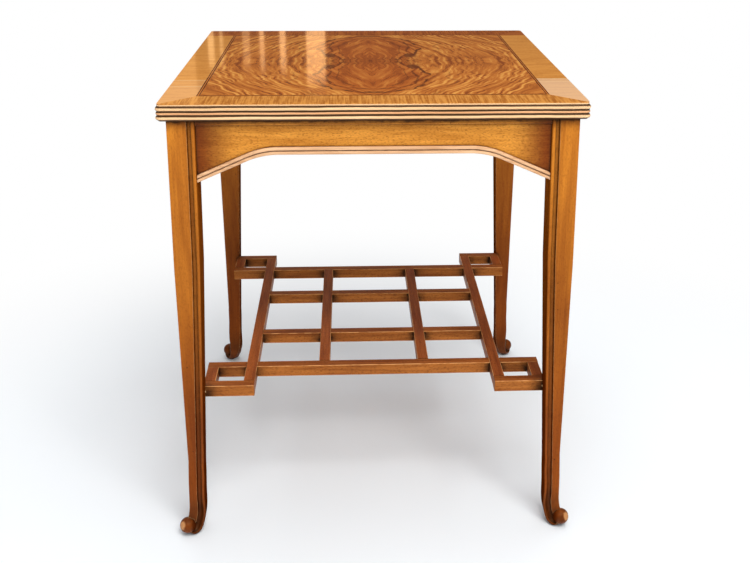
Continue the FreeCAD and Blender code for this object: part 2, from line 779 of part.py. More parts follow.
def section_wire(half_section, place):
    """The closed wire of a section, with its points put in place."""
    def mirrored(point):
        return (point[1], point[0]) if point else None

    corners = [corner for corner, _ in half_section]
    crests = [crest for _, crest in half_section[:-1]]
    corners += [mirrored(corner) for corner in reversed(corners[:-1])]
    crests += [mirrored(crest) for crest in reversed(crests)] + [None]
    edges = []
    for index, crest in enumerate(crests):
        start = place(corners[index])
        end = place(corners[(index + 1) % len(corners)])
        curve = Part.Arc(start, place(crest), end) if crest else Part.LineSegment(start, end)
        edges.append(curve.toShape())
    return Part.Wire(edges)


def shaft_sizes():
    """Height, inner face and section sizes at the top, the knee and the ankle."""
    top = [size(name + "_top").number
           for name in ("leg_width", "bead_width", "cove_width", "cove_depth")]
    ankle = [size(name + "_ankle").number
             for name in ("leg_width", "bead_width", "cove_width", "cove_depth")]
    knee = [(first + last) / 2 for first, last in zip(top, ankle)]
    knee[0] = size("leg_width_knee").number
    return (
        (TOP_UNDER.number, LEG_INNER_TOP.number, top),
        (size("knee_height").number, LEG_INNER_KNEE.number, knee),
        (size("ankle_height").number, LEG_INNER_ANKLE.number, ankle),
    )


def shaft_wires():
    """The sections of the straight part of a leg, from the top down."""
    wires = []
    for height, inner, sizes in shaft_sizes():
        def place(point, height=height):
            return FreeCAD.Vector(point[0], point[1], height)

        wires.append(section_wire(leg_section(inner, *sizes), place))
    return wires


def foot_point(point, outer, station):
    """Where a point of the ankle's section lies at a station of the foot."""
    tilt, out, up, deep, half, rim, rim_half, sole, _ = station
    diagonal = size("leg_width_ankle").number * sqrt(2)
    inward = (outer * 2 - point[0] - point[1]) / sqrt(2) / diagonal
    aside = (point[0] - point[1]) * sqrt(2) / diagonal
    if inward < SECTION_WAIST_SHARE:
        depth = rim * inward / SECTION_WAIST_SHARE
    else:
        depth = rim + (1 - rim) * (inward - SECTION_WAIST_SHARE) / (1 - SECTION_WAIST_SHARE)
    depth = depth * deep * diagonal
    width = aside * half * diagonal
    if inward > SECTION_HEEL_SHARE:
        width = size("sole_half_width").number * sole * (1 if aside > 0 else -1)
    elif inward > SECTION_RIM_SHARE:
        width = width * rim_half
    along = outer * sqrt(2) + diagonal * out - depth * cos(radians(tilt))
    return FreeCAD.Vector(
        (along + width) / sqrt(2), (along - width) / sqrt(2),
        size("foot_height").number * up - depth * sin(radians(tilt)))


def foot(ankle_wire):
    """The foot, lofted from the ankle into a round toe, flat where it stands."""
    _, inner, (width, bead, cove, depth) = shaft_sizes()[-1]
    outer = inner + width
    wires = [ankle_wire]
    for station in FOOT_SHARES:
        section = leg_section(inner, width, bead, cove, depth * station[-1])
        wires.append(section_wire(
            section, lambda point, station=station: foot_point(point, outer, station)))
    radius = size("toe_radius").number
    middle = outer + size("toe_reach").number
    toe = Part.makeSphere(
        radius, FreeCAD.Vector(middle, middle, radius + size("toe_rise").number))
    reach = size("leg_width_top").number * 2
    ground = Part.makeBox(reach, reach, reach,
                          FreeCAD.Vector(outer - reach / 2, outer - reach / 2, -reach))
    return Part.makeLoft(wires, True, False).fuse(toe).cut(ground)


def leg(corner, turns):
    """A tapering leg, beaded inside its outer faces, with a turned-out foot."""
    wires = shaft_wires()
    shape = Part.makeLoft(wires, True, True).fuse(foot(wires[-1])).removeSplitter()
    for cutter in leg_cutters():
        shape = shape.cut(cutter)
    feature = doc.addObject("Part::Feature", "leg_" + corner)
    feature.Label = "leg_" + corner
    feature.Shape = shape.Solids[0]
    spin = FreeCAD.Rotation(FreeCAD.Vector(0, 0, 1), QUARTER_TURN * turns)
    feature.Placement = FreeCAD.Placement(FreeCAD.Vector(), spin)
    return feature


def leg_cutters():
    """Mortises for two aprons, the notch for the shelf's corner, the dowel hole."""
    start = (TENON_FACE - size("tenon_thickness")).number
    low = TENON_LOW.number
    length = TENON_END.number + GAP.number
    tall = TENON_HIGH.number - low
    thick = size("tenon_thickness").number
    mortise = Part.makeBox(length, thick, tall, FreeCAD.Vector(0, start, low))
    other = Part.makeBox(thick, length, tall, FreeCAD.Vector(start, 0, low))
    half = SHELF_HALF.number
    notch = Part.makeBox(half, half, size("rail_depth").number,
                         FreeCAD.Vector(0, 0, SHELF_UNDER.number))
    hole = Part.makeCylinder(
        size("dowel_diameter").number / 2, size("dowel_length").number + GAP.number * 2,
        FreeCAD.Vector(CORNER_LINE.number * sqrt(2), 0, SHELF_MIDDLE.number),
        FreeCAD.Vector(1, 0, 0))
    hole.rotate(FreeCAD.Vector(), FreeCAD.Vector(0, 0, 1), DIAGONAL_ANGLE)
    return mortise, other, notch, hole


# The whole table

def build():
    """Make every piece and return them all."""
    pieces = [top_core()]
    for turns, side in enumerate(SIDES):
        pieces.append(edge_moulding(side, turns))
        pieces.append(crossband(side, turns))
        pieces.append(stringing(side, turns))
        pieces.append(apron(side, turns))
        pieces.append(arch_reeding(side, turns))
        pieces.append(frieze_bead(side, turns))
        pieces.append(screw_block(side, turns))
    pieces.append(top_screws())
    for turns, corner in enumerate(CORNERS):
        pieces.append(veneer_leaf(corner, turns))
        pieces.append(leg(corner, turns + 2))
    pieces += [cross_rail("front", 0), cross_rail("back", 2)]
    pieces += [side_rail("right", 1), side_rail("left", 3)]
    pieces.append(inner_rail("inner_rail_left", -INNER_LINE, 1, True))
    pieces.append(inner_rail("inner_rail_right", INNER_LINE, 1, True))
    pieces.append(inner_rail("inner_rail_front", -INNER_LINE, 0, False))
    pieces.append(inner_rail("inner_rail_back", INNER_LINE, 0, False))
    for corner, across, out in (
            ("front_left", -1, -1), ("front_right", 1, -1),
            ("back_right", 1, 1), ("back_left", -1, 1)):
        pieces.append(end_rail(corner, across, out))
        pieces.append(outer_rail(corner, across, out))
    pieces.append(shelf_dowels())
    return pieces


def check(pieces):
    """Stop if any object failed or any piece is empty or not sound."""
    for thing in doc.Objects:
        if "Invalid" in thing.State or "Error" in thing.State:
            raise RuntimeError("failed: %s, %s" % (thing.Name, thing.State))
    for piece in pieces:
        if piece.Shape.isNull() or not piece.Shape.isValid():
            raise RuntimeError("not sound: %s" % piece.Label)


def write(pieces):
    """Write every piece to its own file, named after its label."""
    os.makedirs("parts", exist_ok=True)
    for piece in pieces:
        piece.Shape.exportStep("parts/%s.step" % piece.Label)


parts = build()
doc.recompute()
check(parts)
write(parts)
for part in parts:
    print("%-26s %2d solid(s) %10.0f mm3" % (part.Label, len(part.Shape.Solids), part.Shape.Volume))
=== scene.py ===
import bpy
from math import cos, pi, sin
from mathutils import Matrix, Vector


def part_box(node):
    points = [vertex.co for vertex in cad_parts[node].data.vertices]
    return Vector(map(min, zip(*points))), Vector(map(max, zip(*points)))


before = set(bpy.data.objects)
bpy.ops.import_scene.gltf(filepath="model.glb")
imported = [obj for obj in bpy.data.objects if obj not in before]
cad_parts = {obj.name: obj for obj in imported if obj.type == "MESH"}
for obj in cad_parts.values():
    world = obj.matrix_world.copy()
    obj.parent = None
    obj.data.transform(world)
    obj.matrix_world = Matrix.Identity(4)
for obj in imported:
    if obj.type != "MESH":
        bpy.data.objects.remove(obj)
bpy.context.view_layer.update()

bl_info = {
    "name": "Occasional Table Finisher",
    "version": (1, 0, 0),
    "blender": (4, 5, 0),
    "location": "View3D > Sidebar > Table",
    "description": "Polishes, dyes and ages the timbers of a veneered occasional table",
    "category": "Object",
}

MM = 0.001                      # one millimetre, in metres
SIDES = ("front", "right", "back", "left")
CORNERS = ("front_left", "front_right", "back_right", "back_left")

# Settings that many nodes share
SMOOTH = {"interpolation_type": "SMOOTHSTEP"}
PAINT = {"data_type": "RGBA"}                                   # the second colour covers
STAIN = {"data_type": "RGBA", "blend_type": "MULTIPLY"}         # the second colour tints
FRENCH_POLISH = {"relief": 0.02, "roughness": (0.05, 0.09), "level": 0.4}

# The top, in millimetres from its middle and from the floor
WAVE_UNIT = pi / 10             # wavelength of a wave texture at scale 1
RIPPLE = 12.0                   # one ripple of the figured leaves
RING_MIDDLE = 140.0             # middle of the contour rings, from the cross joint
RING_HALF_WIDTH = 96.0          # half the main ring's width there
RING_PINCH = 28.0               # how much narrower that half is at the cross joint
RING_CLOSING = 120.0            # from the main ring's middle to its far end
RINGS = (                       # contours: place as a share of the main ring, width, strength
    (1.0, 0.050, 0.85), (0.80, 0.034, 0.60), (1.20, 0.040, 0.60), (0.62, 0.026, 0.45),
    (1.42, 0.030, 0.35))
KNOT = ((76.0, 15.0), (50.0, 24.0))     # a dark knot's middle and half size, across and along
BAND_BROWNED = (262.0, 276.0)   # the back crossbanding is browner from here on
BAND_JOINTS = (                 # side, place from the middle, paleness in front of it
    (-1.0, -161.0, 0.10), (-1.0, -206.0, 0.08), (1.0, -159.0, 0.40), (1.0, -179.0, 0.15))
REEDS = ((768.0, 3.4), (761.1, 2.6), (754.2, 3.4))      # middle and half height of each
EDGE_SHADED = (753.0, 750.5)    # painted shadow on the edge below its last reed

# The frame, in millimetres from the same places
APRON_SHADE_NEAR_LEGS = (-60.0, 6.0)    # painted shade on the aprons towards the legs' inner faces
LEG_BROWNED = (778.0, 149.0)    # the legs brown from the top down to the ankle
FOOT_DARKENED = (92.0, 27.0)    # the feet darken from the ankle down
TOE_SPOT = (341.0, -341.0, 25.0)        # middle of the worn oval on the right front toe
TOE_SPOT_RADII = (10.0, 6.2)    # where its edge begins and ends

# The stage, in metres
LAMPS = (                       # name, place, size, watts, colour, mirrored in the polish
    ("Key lamp", (0.7, -2.2, 3.2), 1.8, 92.0, "#FFFEFB", True),
    ("Fill lamp", (-0.2, -2.9, 0.9), 2.0, 24.0, "#FBFCFF", False),
    ("Top lamp", (0.1, 0.3, 3.1), 2.4, 28.0, "#FFFFFF", True),
    ("Back lamp", (-0.4, 2.9, 3.0), 1.6, 10.0, "#FFFFFF", True))
LAMP_AIM = (0.0, 0.0, 0.45)     # the point that every lamp faces
PANE_DISTANCE = 4.0             # middle of the table to the window behind it
PANES = (                       # left, right, low, high, strength, colour
    (-0.289, -0.179, 1.08, 1.69, 1.5, "#FFC88C"), (-0.443, -0.409, 1.08, 1.61, 1.5, "#FFC88C"),
    (-0.559, -0.533, 1.08, 1.61, 1.3, "#FFC88C"), (-0.657, -0.616, 1.08, 1.59, 0.7, "#FFC88C"),
    (-0.789, -0.771, 1.08, 1.59, 0.9, "#FFD090"), (-0.858, -0.823, 1.08, 1.59, 1.2, "#FFD090"),
    (-1.350, -0.935, 1.08, 1.85, 0.6, "#FFC880"))
FLOOR_SIZE = 60.0
SHADE_MIDDLE = -0.25            # the floor whitens round a place in front of the table
SHADE_CORE = 0.36               # share of the shadow's reach where it begins to whiten
WALL_TO_CEILING = (0.3, 0.85)   # rise of a sight line to the wall's top and to the ceiling


# Tools shared by every finish

def linear(code):
    """A hex colour, as written on a paint chart, as linear light."""
    parts = [int(code[place:place + 2], 16) / 255 for place in (1, 3, 5)]
    lit = [part / 12.92 if part <= 0.04045 else ((part + 0.055) / 1.055) ** 2.4 for part in parts]
    return (*lit, 1.0)


def node(tree, kind, inputs=(), out=None, stops=None, **settings):
    """Add a node with its settings, ramp stops and inputs, and give its output.

    Inputs are numbers, colours or other nodes' outputs, by the names of their
    sockets or in the order of the sockets.
    """
    made = tree.nodes.new("ShaderNode" + kind)
    for name, value in settings.items():
        setattr(made, name, value)
    if stops:
        ramp = made.color_ramp.elements
        while len(ramp) < len(stops):
            ramp.new(1.0)
        for stop, (place, colour) in zip(ramp, stops):
            stop.position = place
            stop.color = colour
    pairs = inputs.items() if isinstance(inputs, dict) else enumerate(inputs)
    for key, value in pairs:
        socket = made.inputs[key]
        if isinstance(key, str):
            socket = [item for item in made.inputs if item.name == key and item.enabled][0]
        if isinstance(value, bpy.types.NodeSocket):
            tree.links.new(value, socket)
        else:
            socket.default_value = value
    if out:
        return made.outputs[out]
    return next((item for item in made.outputs if item.enabled), None)


def new_finish(name):
    """An empty material with its tree."""
    material = bpy.data.materials.new(name)
    material.use_nodes = True
    material.node_tree.nodes.clear()
    return material, material.node_tree


def place_in_mm(tree):
    """Where a point lies on the table, in millimetres."""
    place = node(tree, "TexCoord", out="Object")
    return node(tree, "VectorMath", {0: place, "Scale": 1 / MM}, operation="SCALE")


def gap(tree, value, middle):
    """How far a value lies from a middle, to either side."""
    off = node(tree, "Math", (value, middle), operation="SUBTRACT")
    return node(tree, "Math", (off,), operation="ABSOLUTE")


def in_halves(tree, value, middle, half):
    """How far a value lies past a middle, counted in half widths."""
    off = node(tree, "Math", (value, middle), operation="SUBTRACT")
    return node(tree, "Math", (off, half), operation="DIVIDE")


def squares(tree, first, second):
    """The sum of two squares."""
    second = node(tree, "Math", (second, second), operation="MULTIPLY")
    return node(tree, "Math", (first, first, second), operation="MULTIPLY_ADD")


def figure(tree, place, size, detail=2.0, swirl=0.0, seed=0.0):
    """Cloudy figure whose spots measure size, three lengths in millimetres."""
    put = node(tree, "Mapping", {"Vector": place, "Location": (seed, seed, seed),
        "Scale": tuple(1 / length for length in size)})
    return node(tree, "TexNoise",
        {"Vector": put, "Scale": 1.0, "Detail": detail, "Roughness": 0.55, "Distortion": swirl})


def long_grain(along, across_mm, along_mm):
    """The size of a streak that runs along an axis, X, Y or Z."""
    return tuple(along_mm if axis == along else across_mm for axis in "XYZ")


def timber(tree, place, along, dark, light, streak=5.0, run=140.0, seed=0.0, open_pores=0.35):
    """Plain timber: broad bands, streaks, fine grain and short dark pores.

    streak and run are a streak's width and length in millimetres. Gives the
    colour and the fine grain.
    """
    broad = figure(tree, place, long_grain(along, streak * 5, run * 1.6), 2, 0.4, seed)
    streaks = figure(tree, place, long_grain(along, streak, run), 3, 0.3, seed + 7)
    fine = figure(tree, place, long_grain(along, streak * 0.22, run * 0.5), 3, 0.0, seed + 13)
    value = node(tree, "Math", (streaks, 0.35), operation="MULTIPLY")
    value = node(tree, "Math", (broad, 0.45, value), operation="MULTIPLY_ADD")
    value = node(tree, "Math", (fine, 0.2, value), operation="MULTIPLY_ADD")
    colour = node(tree, "ValToRGB", {"Fac": value}, stops=[(0.36, dark), (0.64, light)])
    pores = figure(tree, place, long_grain(along, 0.9, 12.0), 1, 0.0, seed + 21)
    pores = node(tree, "MapRange", (pores, 0.66, 0.76, 0.0, open_pores), **SMOOTH)
    return node(tree, "Mix", {"Factor": pores, "A": colour, "B": dark}, **STAIN), fine


def corners_of(tree, reach, clear=0.94, deep=0.50):
    """How deep a point sits in a corner or a groove, from 0 to 1."""
    open_share = node(tree, "AmbientOcclusion", {"Distance": reach * MM}, out="AO", samples=8)
    return node(tree, "MapRange", (open_share, clear, deep), **SMOOTH)


def arrises_of(tree, rounded):
    """How close a point lies to an arris, from 0 to 1."""
    flat = node(tree, "NewGeometry", out="Normal")
    turn = node(tree, "VectorMath", {0: rounded, 1: flat}, out="Value", operation="DOT_PRODUCT")
    return node(tree, "MapRange", (turn, 0.995, 0.90), **SMOOTH)


def aged(tree, place, colour, patina, rubbed, reach=9.0, depth=0.85, rub=0.5, radius=1.1):
    """Old polish gone dark in the corners, and arrises rubbed pale by dusting.

    reach is how far the dark goes from a corner, and radius how round an arris
    is worn, in millimetres. Gives the colour and the softened surface direction.
    """
    rounded = node(tree, "Bevel", {"Radius": radius * MM}, samples=4)
    patchy = figure(tree, place, (14.0, 14.0, 14.0), 3, 0.0, 31.0)
    worn = node(tree, "MapRange", (patchy, 0.38, 0.6, 0.35 * rub, rub), **SMOOTH)
    worn = node(tree, "Math", (arrises_of(tree, rounded), worn), operation="MULTIPLY")
    colour = node(tree, "Mix", {"Factor": worn, "A": colour, "B": rubbed}, **PAINT)
    dirt = node(tree, "MapRange", (patchy, 0.3, 0.62, depth, 0.75 * depth), **SMOOTH)
    dirt = node(tree, "Math", (corners_of(tree, reach), dirt), operation="MULTIPLY")
    return node(tree, "Mix", {"Factor": dirt, "A": colour, "B": patina}, **PAINT), rounded


def polish(tree, colour, direction, grain, relief=0.12, roughness=(0.34, 0.48), level=0.3):
    """Shellac polish over the colour, with the grain just felt under it.

    The roughness is given for the hard and for the soft parts of the grain.
    """
    bumped = node(tree, "Bump",
        {"Height": grain, "Normal": direction, "Strength": relief, "Distance": 0.4 * MM})
    hard, soft = roughness
    rough = node(tree, "MapRange", (grain, 0.35, 0.65, soft, hard), **SMOOTH)
    shader = node(tree, "BsdfPrincipled", {"Base Color": colour, "Roughness": rough,
        "Normal": bumped, "IOR": 1.45, "Specular IOR Level": level,
        "Specular Tint": linear("#FFDDB0")})
    node(tree, "OutputMaterial", {"Surface": shader})


def dress(material, *names):
    """Put a finish on CAD pieces by name."""
    for name in names:
        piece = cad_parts[name]
        for slot in piece.material_slots:
            slot.material = material


# Sizes and colours that a user would change

class FinishSettings(bpy.types.PropertyGroup):
    """Colours of the timbers, as they look in plain light."""

    figure_dark: bpy.props.StringProperty(
        name="Figure, dark", description="Dark waves and contours of the figured leaves",
        default="#8A4414")
    figure_mid: bpy.props.StringProperty(
        name="Figure, ground", description="Ground colour of the figured leaves",
        default="#BE6F2A")
    figure_light: bpy.props.StringProperty(
        name="Figure, light", description="Golden flames of the figured leaves",
        default="#E29C4A")
    band_dark: bpy.props.StringProperty(
        name="Crossband, dark", description="Grain lines of the crossbanding", default="#A8621E")
    band_light: bpy.props.StringProperty(
        name="Crossband, light", description="Ground colour of the crossbanding",
        default="#D58F40")
    moulding_dark: bpy.props.StringProperty(
        name="Moulding, dark", description="Streaks on the reeds of the edge", default="#DEAF7E")
    moulding_light: bpy.props.StringProperty(
        name="Moulding, light", description="Pale crests of the reeds", default="#F4CB9C")
    apron_dark: bpy.props.StringProperty(
        name="Apron, dark", description="Streaks of the aprons", default="#B56F22")
    apron_light: bpy.props.StringProperty(
        name="Apron, light", description="Ground colour of the aprons", default="#E59C3E")
    leg_dark: bpy.props.StringProperty(
        name="Leg, dark", description="Streaks of the legs", default="#A05817")
    leg_light: bpy.props.StringProperty(
        name="Leg, light", description="Ground colour of the legs", default="#D48429")
    shelf_dark: bpy.props.StringProperty(
        name="Shelf, dark", description="Streaks of the shelf's rails", default="#7A3D16")
    shelf_light: bpy.props.StringProperty(
        name="Shelf, light", description="Ground colour of the shelf's rails",
        default="#B56D30")
    rail_dark: bpy.props.StringProperty(
        name="Long rails, dark", description="Streaks of the rails from front to back",
        default="#7C3D1A")
    rail_light: bpy.props.StringProperty(
        name="Long rails, light", description="Ground colour of the rails from front to back",
        default="#B4662F")
    trim_dark: bpy.props.StringProperty(
        name="Trim, dark", description="Streaks of the reeding under the aprons",
        default="#BE8A60")
    trim_light: bpy.props.StringProperty(
        name="Trim, light", description="Ground colour of the reeding under the aprons",
        default="#EDC096")
    patina: bpy.props.StringProperty(
        name="Patina", description="Old polish in the corners and grooves", default="#1D0C04")
    rubbed: bpy.props.StringProperty(
        name="Rubbed arris", description="Worn edges", default="#EDBE85")


class StageSettings(bpy.types.PropertyGroup):
    """Where the camera stands, and how the studio is lit."""

    place: bpy.props.FloatVectorProperty(
        name="Camera place", description="Where the camera stands",
        default=(-0.03795, -1.80657, 1.13075), subtype="TRANSLATION", unit="LENGTH")
    yaw: bpy.props.FloatProperty(
        name="Yaw", description="Turn of the camera to the right", default=0.04848,
        subtype="ANGLE", unit="ROTATION")
    pitch: bpy.props.FloatProperty(
        name="Pitch", description="Tilt of the camera downwards", default=0.35252,
        subtype="ANGLE", unit="ROTATION")
    roll: bpy.props.FloatProperty(
        name="Roll", description="Lean of the camera", default=0.00611,
        subtype="ANGLE", unit="ROTATION")
    focal_px: bpy.props.FloatProperty(
        name="Focal length", description="In pixels of the photograph's width",
        default=994.28, subtype="PIXEL")
    centre_px: bpy.props.FloatVectorProperty(
        name="Optical centre", description="In pixels of the photograph's frame",
        default=(396.60, 220.00), size=2)
    frame_px: bpy.props.FloatVectorProperty(
        name="Frame", description="Width and height of the photograph in pixels",
        default=(750.0, 563.0), size=2)
    room_light: bpy.props.FloatProperty(
        name="Ceiling light", description="Brightness of the room overhead",
        default=0.60, min=0.0)
    room_wall: bpy.props.FloatProperty(
        name="Wall light", description="Brightness of the room at eye level",
        default=0.05, min=0.0)
    lamp_power: bpy.props.FloatProperty(
        name="Lamps", description="Strength of all the lamps together", default=1.0, min=0.0)
    shadow_reach: bpy.props.FloatProperty(
        name="Shadow reach", description="How far from the table the floor has gone white",
        default=1.5, subtype="DISTANCE", unit="LENGTH")
    floor_colour: bpy.props.StringProperty(
        name="Floor", description="Colour of the paper sweep", default="#F2F7FC")


# Finishes of the top

def mirrored_place(tree, place):
    """The place folded over both joints of the leaves, so that all four match."""
    folded = node(tree, "VectorMath", {0: place}, operation="ABSOLUTE")
    return node(tree, "VectorMath", {0: folded, 1: (1.0, 1.0, 0.0)}, operation="MULTIPLY")


def shifted(tree, place, size, by, seed):
    """The place pushed about by swirls of a size, by up to some millimetres."""
    put = node(tree, "Mapping",
        {"Vector": place, "Location": (seed, seed, 0.0), "Scale": (1 / size, 1 / size, 1 / size)})
    push = node(tree, "TexNoise", {"Vector": put, "Scale": 1.0, "Detail": 2.0}, out="Color")
    push = node(tree, "VectorMath", {0: push, 1: (0.5, 0.5, 0.5)}, operation="SUBTRACT")
    push = node(tree, "VectorMath", {0: push, "Scale": by}, operation="SCALE")
    return node(tree, "VectorMath", {0: place, 1: push}, operation="ADD")


def figured_satinwood(colours):
    """Satinwood leaves cut from a crotch and matched four ways, French polished.

    The eye gets golden ripples that bend round the middle, broken dark contour
    lines like the rings of a burr, and dark streaks along the cross joint.
    """
    material, tree = new_finish("Figured satinwood leaves, French polished")
    dark, mid, light = (linear(code) for code in (
        colours.figure_dark, colours.figure_mid, colours.figure_light))
    place = mirrored_place(tree, place_in_mm(tree))
    ring = ring_distance(tree, place)
    value, fine = flames(tree, place, ring)
    colour = node(tree, "ValToRGB", {"Fac": value},
        stops=[(0.34, dark), (0.50, mid), (0.65, light)])
    inside = node(tree, "MapRange", (ring, 1.15, 0.80, 0.0, 0.5), **SMOOTH)
    colour = node(tree, "Mix", {"Factor": inside, "A": colour, "B": linear("#CC9660")}, **STAIN)
    colour = contours(tree, place, ring, colour)
    colour = node(tree, "Mix",
        {"Factor": knot_share(tree, place), "A": colour, "B": linear("#4E1E08")}, **PAINT)
    soft = node(tree, "NewGeometry", out="Normal")
    polish(tree, colour, soft, fine, **FRENCH_POLISH)
    return material


def flames(tree, place, ring):
    """Flames and ripples that bend round the middle, calmer inside the main ring.

    Gives the value that the colours follow, and the fine grain.
    """
    swirled = shifted(tree, shifted(tree, place, 95.0, 46.0, 3.0), 30.0, 9.0, 11.0)
    across = node(tree, "SeparateXYZ", {"Vector": swirled}, out="X")
    along = across.node.outputs["Y"]
    bend = node(tree, "Math", (along, 2.0), operation="POWER")
    bend = node(tree, "Math", (bend, 0.0014), operation="MULTIPLY")
    bent = node(tree, "CombineXYZ",
        {"X": node(tree, "Math", (across, bend), operation="ADD"), "Y": along, "Z": 0.0})
    ripples = node(tree, "TexWave",
        {"Vector": bent, "Scale": WAVE_UNIT / RIPPLE, "Distortion": 9.0, "Detail": 3.0,
         "Detail Scale": 0.6, "Detail Roughness": 0.6}, out="Fac", bands_direction="X")
    patches = figure(tree, bent, (60.0, 110.0, 1.0), 1, 0.0, 27.0)
    patches = node(tree, "MapRange", (patches, 0.38, 0.6, 0.15, 1.0), **SMOOTH)
    outside = node(tree, "MapRange", (ring, 0.75, 1.25, 0.1, 1.0), **SMOOTH)
    patches = node(tree, "Math", (patches, outside), operation="MULTIPLY")
    ripples = node(tree, "Math", (ripples, 0.5), operation="SUBTRACT")
    ripples = node(tree, "Math", (ripples, patches), operation="MULTIPLY")
    value = node(tree, "Math",
        (figure(tree, bent, (13.0, 80.0, 1.0), 3, 0.9, 5.0), 0.74), operation="MULTIPLY")
    value = node(tree, "Math", (ripples, 0.16, value), operation="MULTIPLY_ADD")
    fine = figure(tree, bent, (2.2, 50.0, 1.0), 3, 0.0, 9.0)
    value = node(tree, "Math", (fine, 0.24, value), operation="MULTIPLY_ADD")
    calm = node(tree, "MapRange", (ring, 1.0, 0.6, 0.0, 0.30), **SMOOTH)
    return node(tree, "Mix", {"Factor": calm, "A": value, "B": 0.485}), fine


def contours(tree, place, ring, colour):
    """The colour with broken dark lines along each of the rings."""
    broken = figure(tree, place, (38.0, 60.0, 1.0), 2, 0.0, 17.0)
    for level, width, strength in RINGS:
        line = node(tree, "MapRange", (gap(tree, ring, level), width, width * 0.25), **SMOOTH)
        parts = node(tree, "MapRange", (broken, 0.42, 0.58, 0.0, strength), **SMOOTH)
        line = node(tree, "Math", (line, parts), operation="MULTIPLY")
        colour = node(tree, "Mix", {"Factor": line, "A": colour, "B": linear("#4A1C06")}, **PAINT)
        broken = node(tree, "Math", (broken, 0.37), operation="ADD")
        broken = node(tree, "Math", (broken,), operation="FRACT")
    return colour


def ring_distance(tree, place):
    """How far out a point lies among the contour rings: 1 on the main ring.

    The main ring is widest at its middle, narrows towards the cross joint and
    closes further out.
    """
    rough = shifted(tree, shifted(tree, place, 60.0, 44.0, 23.0), 22.0, 12.0, 29.0)
    across = node(tree, "SeparateXYZ", {"Vector": rough}, out="X")
    along = across.node.outputs["Y"]
    near = node(tree, "Math", (RING_MIDDLE, along), operation="SUBTRACT")
    near = node(tree, "Math", (near, RING_MIDDLE), operation="DIVIDE", use_clamp=True)
    near = node(tree, "Math", (near, 1.5), operation="POWER")
    waist = node(tree, "Math", (near, -RING_PINCH, RING_HALF_WIDTH), operation="MULTIPLY_ADD")
    side = node(tree, "Math", (across, waist), operation="DIVIDE")
    far = in_halves(tree, along, RING_MIDDLE, RING_CLOSING)
    far = node(tree, "Math", (far, 0.0), operation="MAXIMUM")
    return node(tree, "Math", (squares(tree, side, far),), operation="SQRT")


def knot_share(tree, place):
    """How dark the streaks and the knots along the cross joint are, from 0 to 1."""
    rough = shifted(tree, shifted(tree, place, 46.0, 26.0, 37.0), 14.0, 7.0, 41.0)
    across = node(tree, "SeparateXYZ", {"Vector": rough}, out="X")
    along = across.node.outputs["Y"]
    streaks = figure(tree, rough, (42.0, 7.0, 1.0), 2, 0.3, 45.0)
    streaks = node(tree, "MapRange", (streaks, 0.48, 0.62), **SMOOTH)
    near = node(tree, "MapRange", (along, 44.0, 8.0, 0.0, 0.8), **SMOOTH)
    middle = node(tree, "MapRange", (across, 104.0, 74.0), **SMOOTH)
    near = node(tree, "Math", (near, middle), operation="MULTIPLY")
    streaks = node(tree, "Math", (streaks, near), operation="MULTIPLY")
    joint = node(tree, "MapRange", (along, 7.0, 1.0), **SMOOTH)
    broken = node(tree, "MapRange", (streaks, 0.0, 0.5, 0.12, 0.75), **SMOOTH)
    joint = node(tree, "Math", (joint, broken), operation="MULTIPLY")
    (knot_across, half_across), (knot_along, half_along) = KNOT
    knot = squares(tree, in_halves(tree, across, knot_across, half_across),
                   in_halves(tree, along, knot_along, half_along))
    knot = node(tree, "MapRange", (knot, 1.2, 0.2, 0.0, 0.75), **SMOOTH)
    dark = node(tree, "Math", (knot, streaks), operation="MAXIMUM")
    return node(tree, "Math", (dark, joint), operation="MAXIMUM")


def crossbanding(colours, along, stripe, contrast, joints):
    """Satinwood laid with its grain across the band, French polished.

    The eye gets fine straight lines square to the edge, broken by a faint
    fiddleback, and a pale hairline at each joint, with paler colour in front of it.
    """
    material, tree = new_finish("Satinwood crossbanding along %s, French polished" % along)
    place = place_in_mm(tree)
    lines = figure(tree, place, long_grain(along, stripe, 60.0), 2, 0.0, 4.0)
    broad = figure(tree, place, long_grain(along, 38.0, 160.0), 2, 0.5, 8.0)
    fiddle = figure(tree, place, long_grain(along, 9.0, 5.0), 1, 0.0, 14.0)
    value = node(tree, "Math", (broad, 0.16), operation="MULTIPLY")
    value = node(tree, "Math", (lines, 0.66, value), operation="MULTIPLY_ADD")
    value = node(tree, "Math", (fiddle, 0.18, value), operation="MULTIPLY_ADD")
    colour = node(tree, "ValToRGB", {"Fac": value}, stops=[
        (0.57 - 0.17 / contrast, linear(colours.band_dark)), (0.57, linear(colours.band_light))])
    across = node(tree, "SeparateXYZ", {"Vector": place}, out="X")
    deep = across.node.outputs["Y"]
    back = node(tree, "MapRange", (deep, *BAND_BROWNED, 0.0, 0.8), **SMOOTH)
    colour = node(tree, "Mix", {"Factor": back, "A": colour, "B": linear("#C08A5C")}, **STAIN)
    for side, distance, pale in joints:
        here = node(tree, "Math", (across, side), operation="MULTIPLY")
        here = node(tree, "Math", (here, 0.0), operation="GREATER_THAN")
        ahead = node(tree, "Math", (distance, deep), operation="SUBTRACT")
        share = node(tree, "MapRange", (ahead, -0.5, 0.5, 0.0, pale), **SMOOTH)
        share = node(tree, "Math", (here, share), operation="MULTIPLY")
        colour = node(tree, "Mix", {"Factor": share, "A": colour, "B": linear("#EFCDAA")}, **PAINT)
        line = node(tree, "MapRange", (gap(tree, deep, distance), 1.4, 0.4, 0.0, 0.8), **SMOOTH)
        line = node(tree, "Math", (line, here), operation="MULTIPLY")
        colour = node(tree, "Mix", {"Factor": line, "A": colour, "B": linear("#F2D3A0")}, **PAINT)
    soft = node(tree, "NewGeometry", out="Normal")
    polish(tree, colour, soft, lines, **FRENCH_POLISH)
    return material


